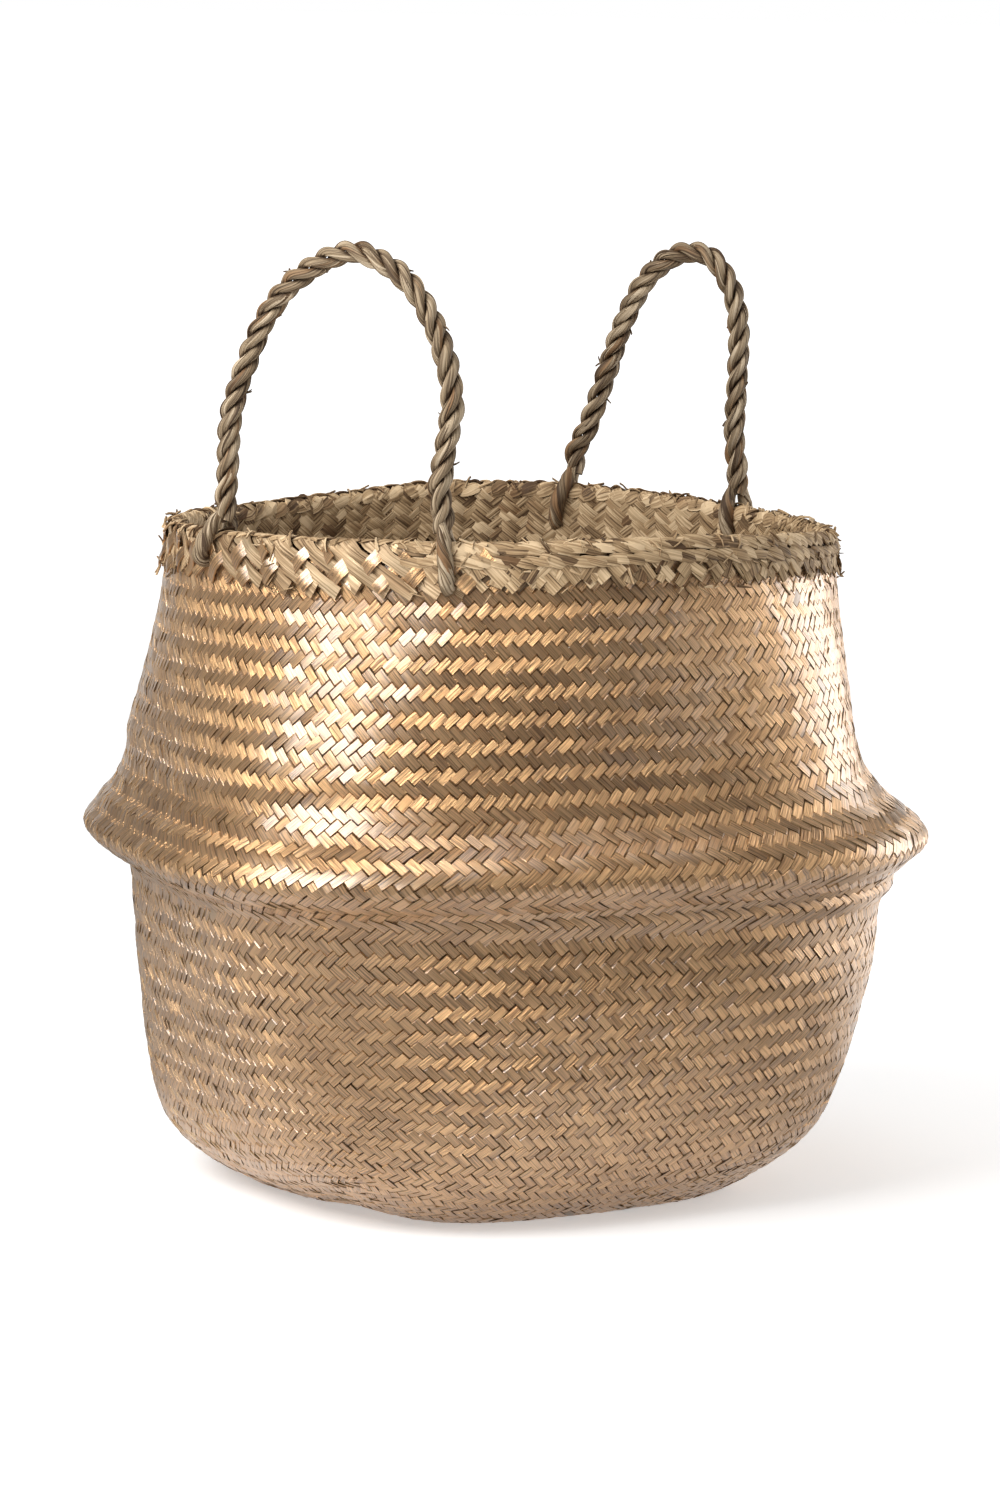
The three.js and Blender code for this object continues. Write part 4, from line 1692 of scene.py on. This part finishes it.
@dataclass
class Studio:
    """Plain pale floor, soft lights and the camera.

    A reach is two values of a length or a cosine, and what it is mapped to at each.
    """

    azimuth: float = 31.2
    elevation: float = 8.0
    distance: float = 3.3
    target_height: float = 0.207
    scale: float = 0.0004773
    picture_height: int = 1500
    shift_pixels: float = -2.0
    lamp_target: float = 0.2
    lamps: tuple[Softbox, ...] = (
        Softbox("left_softbox", -49, 36, 1.25, (1.1, 0.65), 17.5),
        Softbox("right_softbox", 120, 10, 1.3, (0.75, 0.8), 7.0),
        Softbox("top_softbox", 20, 75, 1.8, (0.9, 0.9), 5),
    )
    room: float = 0.45
    mirrored_room: float = 0.15
    backdrop_reach: tuple[float, float, float, float] = (0.88, 0.99, 0.0, 1.0)
    floor_side: float = 14.0
    floor_grey: float = 0.8
    far_reach: tuple[float, float, float, float] = (0.3, 4.0, 0.4, 1.0)
    near_reach: tuple[float, float, float, float] = (0.16, 0.36, 1.0, 0.0)
    left_reach: tuple[float, float, float, float] = (0.0, 0.35, 0.0, 0.35)
    back_reach: tuple[float, float, float, float] = (0.18, 0.36, 0.0, 1.4)

    def direction(self, azimuth: float, elevation: float) -> Vector:
        """Unit vector from the basket outward.

        Args:
            azimuth: degrees to the right of the front.
            elevation: degrees above the horizon.

        Returns:
            The vector.
        """
        a, e = math.radians(azimuth), math.radians(elevation)
        return Vector((math.sin(a) * math.cos(e), -math.cos(a) * math.cos(e), math.sin(e)))

    def camera(self) -> None:
        """Sets the camera at the photograph's angle."""
        data = bpy.data.cameras.new("camera")
        data.sensor_width = 36.0
        data.lens = data.sensor_width * self.distance / (self.picture_height * self.scale)
        data.shift_x = -self.shift_pixels / self.picture_height
        camera = bpy.data.objects.new("camera", data)
        back = self.direction(self.azimuth, self.elevation)
        camera.location = Vector((0, 0, self.target_height)) + back * self.distance
        camera.rotation_euler = (-back).to_track_quat("-Z", "Y").to_euler()
        data.clip_end = 50
        bpy.context.scene.collection.objects.link(camera)
        bpy.context.scene.camera = camera

    def light(self, lamp: Softbox) -> None:
        """Adds one area light that faces the basket.

        Args:
            lamp: the light's values.
        """
        data = bpy.data.lights.new(lamp.name, "AREA")
        data.shape = "RECTANGLE"
        data.size, data.size_y = lamp.size
        data.energy = lamp.power
        light = bpy.data.objects.new(lamp.name, data)
        back = self.direction(self.azimuth + lamp.turn, lamp.elevation)
        light.location = Vector((0, 0, self.lamp_target)) + back * lamp.distance
        light.rotation_euler = (-back).to_track_quat("-Z", "Y").to_euler()
        light.visible_camera = False
        bpy.context.scene.collection.objects.link(light)

    def world(self) -> None:
        """Dim room that is white wherever the camera sees it, with one white backdrop.

        Mirrored rays see the backdrop within a cone round the direction behind the basket: a
        smooth step of the cosine between the two.
        """
        world = bpy.data.worlds.new("studio")
        bpy.context.scene.world = world
        world.use_nodes = True
        tree = world.node_tree
        back = tree.nodes["Background"]
        back.inputs["Color"].default_value = (1, 1, 1, 1)
        rays = tree.nodes.new("ShaderNodeLightPath").outputs
        sky = tree.nodes.new("ShaderNodeTexCoord").outputs["Generated"]
        toward = self.along(tree, sky, -self.direction(self.azimuth, 0))
        cone = self.ranged(tree, toward, self.backdrop_reach, "SMOOTHSTEP")
        mirrored = add_math(tree, "MAXIMUM", rays["Is Glossy Ray"], rays["Is Transmission Ray"])
        span, start = 1 - self.mirrored_room, self.mirrored_room - self.room
        behind = add_math(tree, "MULTIPLY_ADD", cone, span, start)
        light = add_math(tree, "MULTIPLY_ADD", mirrored, behind, self.room)
        rest = add_math(tree, "SUBTRACT", 1.0, light)
        strength = add_math(tree, "MULTIPLY_ADD", rays["Is Camera Ray"], rest, light)
        tree.links.new(strength, back.inputs["Strength"])

    def along(self, tree: Tree, place: Socket, direction: Vector) -> Socket:
        """How far a place lies along a direction: their dot product.

        Args:
            tree: node tree.
            place: vector socket.
            direction: unit vector.

        Returns:
            The value socket.
        """
        node = tree.nodes.new("ShaderNodeVectorMath")
        node.operation = "DOT_PRODUCT"
        tree.links.new(place, node.inputs[0])
        node.inputs[1].default_value = direction
        return node.outputs["Value"]

    def ranged(
        self,
        tree: Tree,
        value: Socket,
        bounds: tuple[float, float, float, float],
        change: str = "LINEAR",
    ) -> Socket:
        """Maps a value from one range to another, held within it.

        Args:
            tree: node tree.
            value: value socket.
            bounds: start and end of the value, then of the result.
            change: kind of change between them.

        Returns:
            The result's socket.
        """
        node = tree.nodes.new("ShaderNodeMapRange")
        node.interpolation_type = change
        for name, number in zip(("From Min", "From Max", "To Min", "To Max"), bounds):
            node.inputs[name].default_value = number
        tree.links.new(value, node.inputs["Value"])
        return node.outputs[0]

    def floor(self) -> None:
        """Large pale floor that keeps the soft shadow and runs into the white background.

        Its own glow for the camera grows with the distance from the basket, so that it meets
        the background without a line. Mirrored rays see it dim, but for patches near the
        basket, to the left, and to the back on the right, which glow for mirrored rays alone
        as painted reflections in the gold.
        """
        far, grey = self.floor_side, self.floor_grey
        mesh = bpy.data.meshes.new("floor")
        corners = [(-far, -far, 0), (far, -far, 0), (far, far, 0), (-far, far, 0)]
        mesh.from_pydata(corners, [], [(0, 1, 2, 3)])
        floor = bpy.data.objects.new("floor", mesh)
        bpy.context.scene.collection.objects.link(floor)
        material, tree, shader = new_material("floor")
        shader.inputs["Roughness"].default_value = 0.9
        shader.inputs["Specular IOR Level"].default_value = 0.0
        shader.inputs["Emission Color"].default_value = (1, 1, 1, 1)
        rays = tree.nodes.new("ShaderNodeLightPath").outputs
        glossy = rays["Is Glossy Ray"]
        place = tree.nodes.new("ShaderNodeTexCoord").outputs["Object"]
        length = tree.nodes.new("ShaderNodeVectorMath")
        length.operation = "LENGTH"
        tree.links.new(place, length.inputs[0])
        to_left = self.along(tree, place, self.direction(self.azimuth - 80, 0))
        to_back = self.along(tree, place, self.direction(self.azimuth + 125, 0))
        glow = self.ranged(tree, length.outputs["Value"], self.far_reach)
        near = self.ranged(tree, length.outputs["Value"], self.near_reach)
        left = self.ranged(tree, to_left, self.left_reach)
        back = self.ranged(tree, to_back, self.back_reach)
        # Painted reflection: patches near the basket, to the left and to the back right that glow for
        # mirrored rays only and brighten the gold where it reflects them.
        bright = add_math(tree, "MAXIMUM", add_math(tree, "MAXIMUM", near, left), back)
        loss = add_math(tree, "SUBTRACT", 0.8, add_math(tree, "MULTIPLY", bright, 0.6))
        dim = add_math(tree, "SUBTRACT", 1.0, add_math(tree, "MULTIPLY", glossy, loss))
        colour = add_mix(tree, "MULTIPLY", 1.0, (grey, grey, grey), dim)
        tree.links.new(colour, shader.inputs["Base Color"])
        direct = add_math(tree, "MULTIPLY", rays["Is Camera Ray"], glow)
        # Painted reflection: the patches' glow, for mirrored rays only.
        mirrored = add_math(tree, "MULTIPLY", glossy, add_math(tree, "MULTIPLY", bright, 0.3))
        strength = add_math(tree, "ADD", direct, mirrored)
        tree.links.new(strength, shader.inputs["Emission Strength"])
        mesh.materials.append(material)

    def build(self) -> None:
        """Makes the whole studio."""
        self.camera()
        self.world()
        self.floor()
        for lamp in self.lamps:
            self.light(lamp)
        bpy.context.scene.view_settings.view_transform = "Standard"


def dress(piece: Piece, finish: Finish, *nodes: str) -> None:
    """Hides the CAD nodes that a piece stands for, and logs its faces.

    Args:
        piece: the piece.
        finish: not used.
        nodes: CAD nodes.
    """
    if nodes:
        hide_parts(*nodes)
    LOG.info("%s: %d faces", piece.name, len(piece.data.polygons))


def add_body(painted: Material, raw: Material) -> None:
    """Adds the plaited body in eight bundles.

    Args:
        painted: finish of the outer faces.
        raw: finish of the inner faces.
    """
    for bundle in PlaitedBody().build(painted, raw):
        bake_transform(bundle)
        zones = ("base_panel", "bottom_turn", "lower_wall", "belly_fold", "upper_wall")
        dress(bundle, Finish.PAINTED, *zones)


def add_border(painted: Material, raw: Material, sprayed: Material) -> None:
    """Adds the border's pieces, which ride on the upper half.

    Args:
        painted: finish of the cross strands.
        raw: finish of most strands.
        sprayed: finish of the slanting strands, which caught some paint.
    """
    border = RawBorder()
    slanting = border.slanting_strands(sprayed)
    dress(slanting, Finish.RAW, "rim_outer_band", "rim_braid")
    inner = border.inner_strands(raw)
    dress(inner, Finish.RAW, "rim_inner_band")
    others = [border.level_floats(raw), border.cut_tabs(raw), border.frays(raw)]
    cross = border.gold_cross_strands(painted)
    dress(cross, Finish.PAINTED)
    for piece in others:
        dress(piece, Finish.RAW)
    for piece in (slanting, inner, cross, *others):
        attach(piece, "upper_body")


def add_handle(handle: RopeHandle, rope: Material) -> None:
    """Adds one rope handle and its two eyes, which ride on the upper half.

    Args:
        handle: the handle.
        rope: finish of the plies.
    """
    plies = handle.plies(rope)
    for number, ply in enumerate(plies):
        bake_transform(ply)
        dress(ply, Finish.ROPE, f"{handle.name}_rope_ply_{number + 1}")
    for end, side in ((-1, "left"), (1, "right")):
        eye = handle.eye(end, rope)
        dress(eye, Finish.ROPE, f"{handle.name}_{side}_eye")
        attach(eye, "upper_body")


def main() -> None:
    """Builds the basket piece by piece, then the studio."""
    logging.basicConfig(level=logging.INFO, format="%(name)s: %(message)s")
    fibres = fibre_group()
    painted = GoldPaint().make(fibres)
    raw, sprayed, rope = (
        finish.make(fibres) for finish in (RAW_SEAGRASS, SPRAYED_SEAGRASS, ROPE_SEAGRASS)
    )
    add_body(painted, raw)
    add_border(painted, raw, sprayed)
    add_handle(FRONT_HANDLE, rope)
    add_handle(BACK_HANDLE, rope)
    Studio().build()


if __name__ == "__main__":
    main()
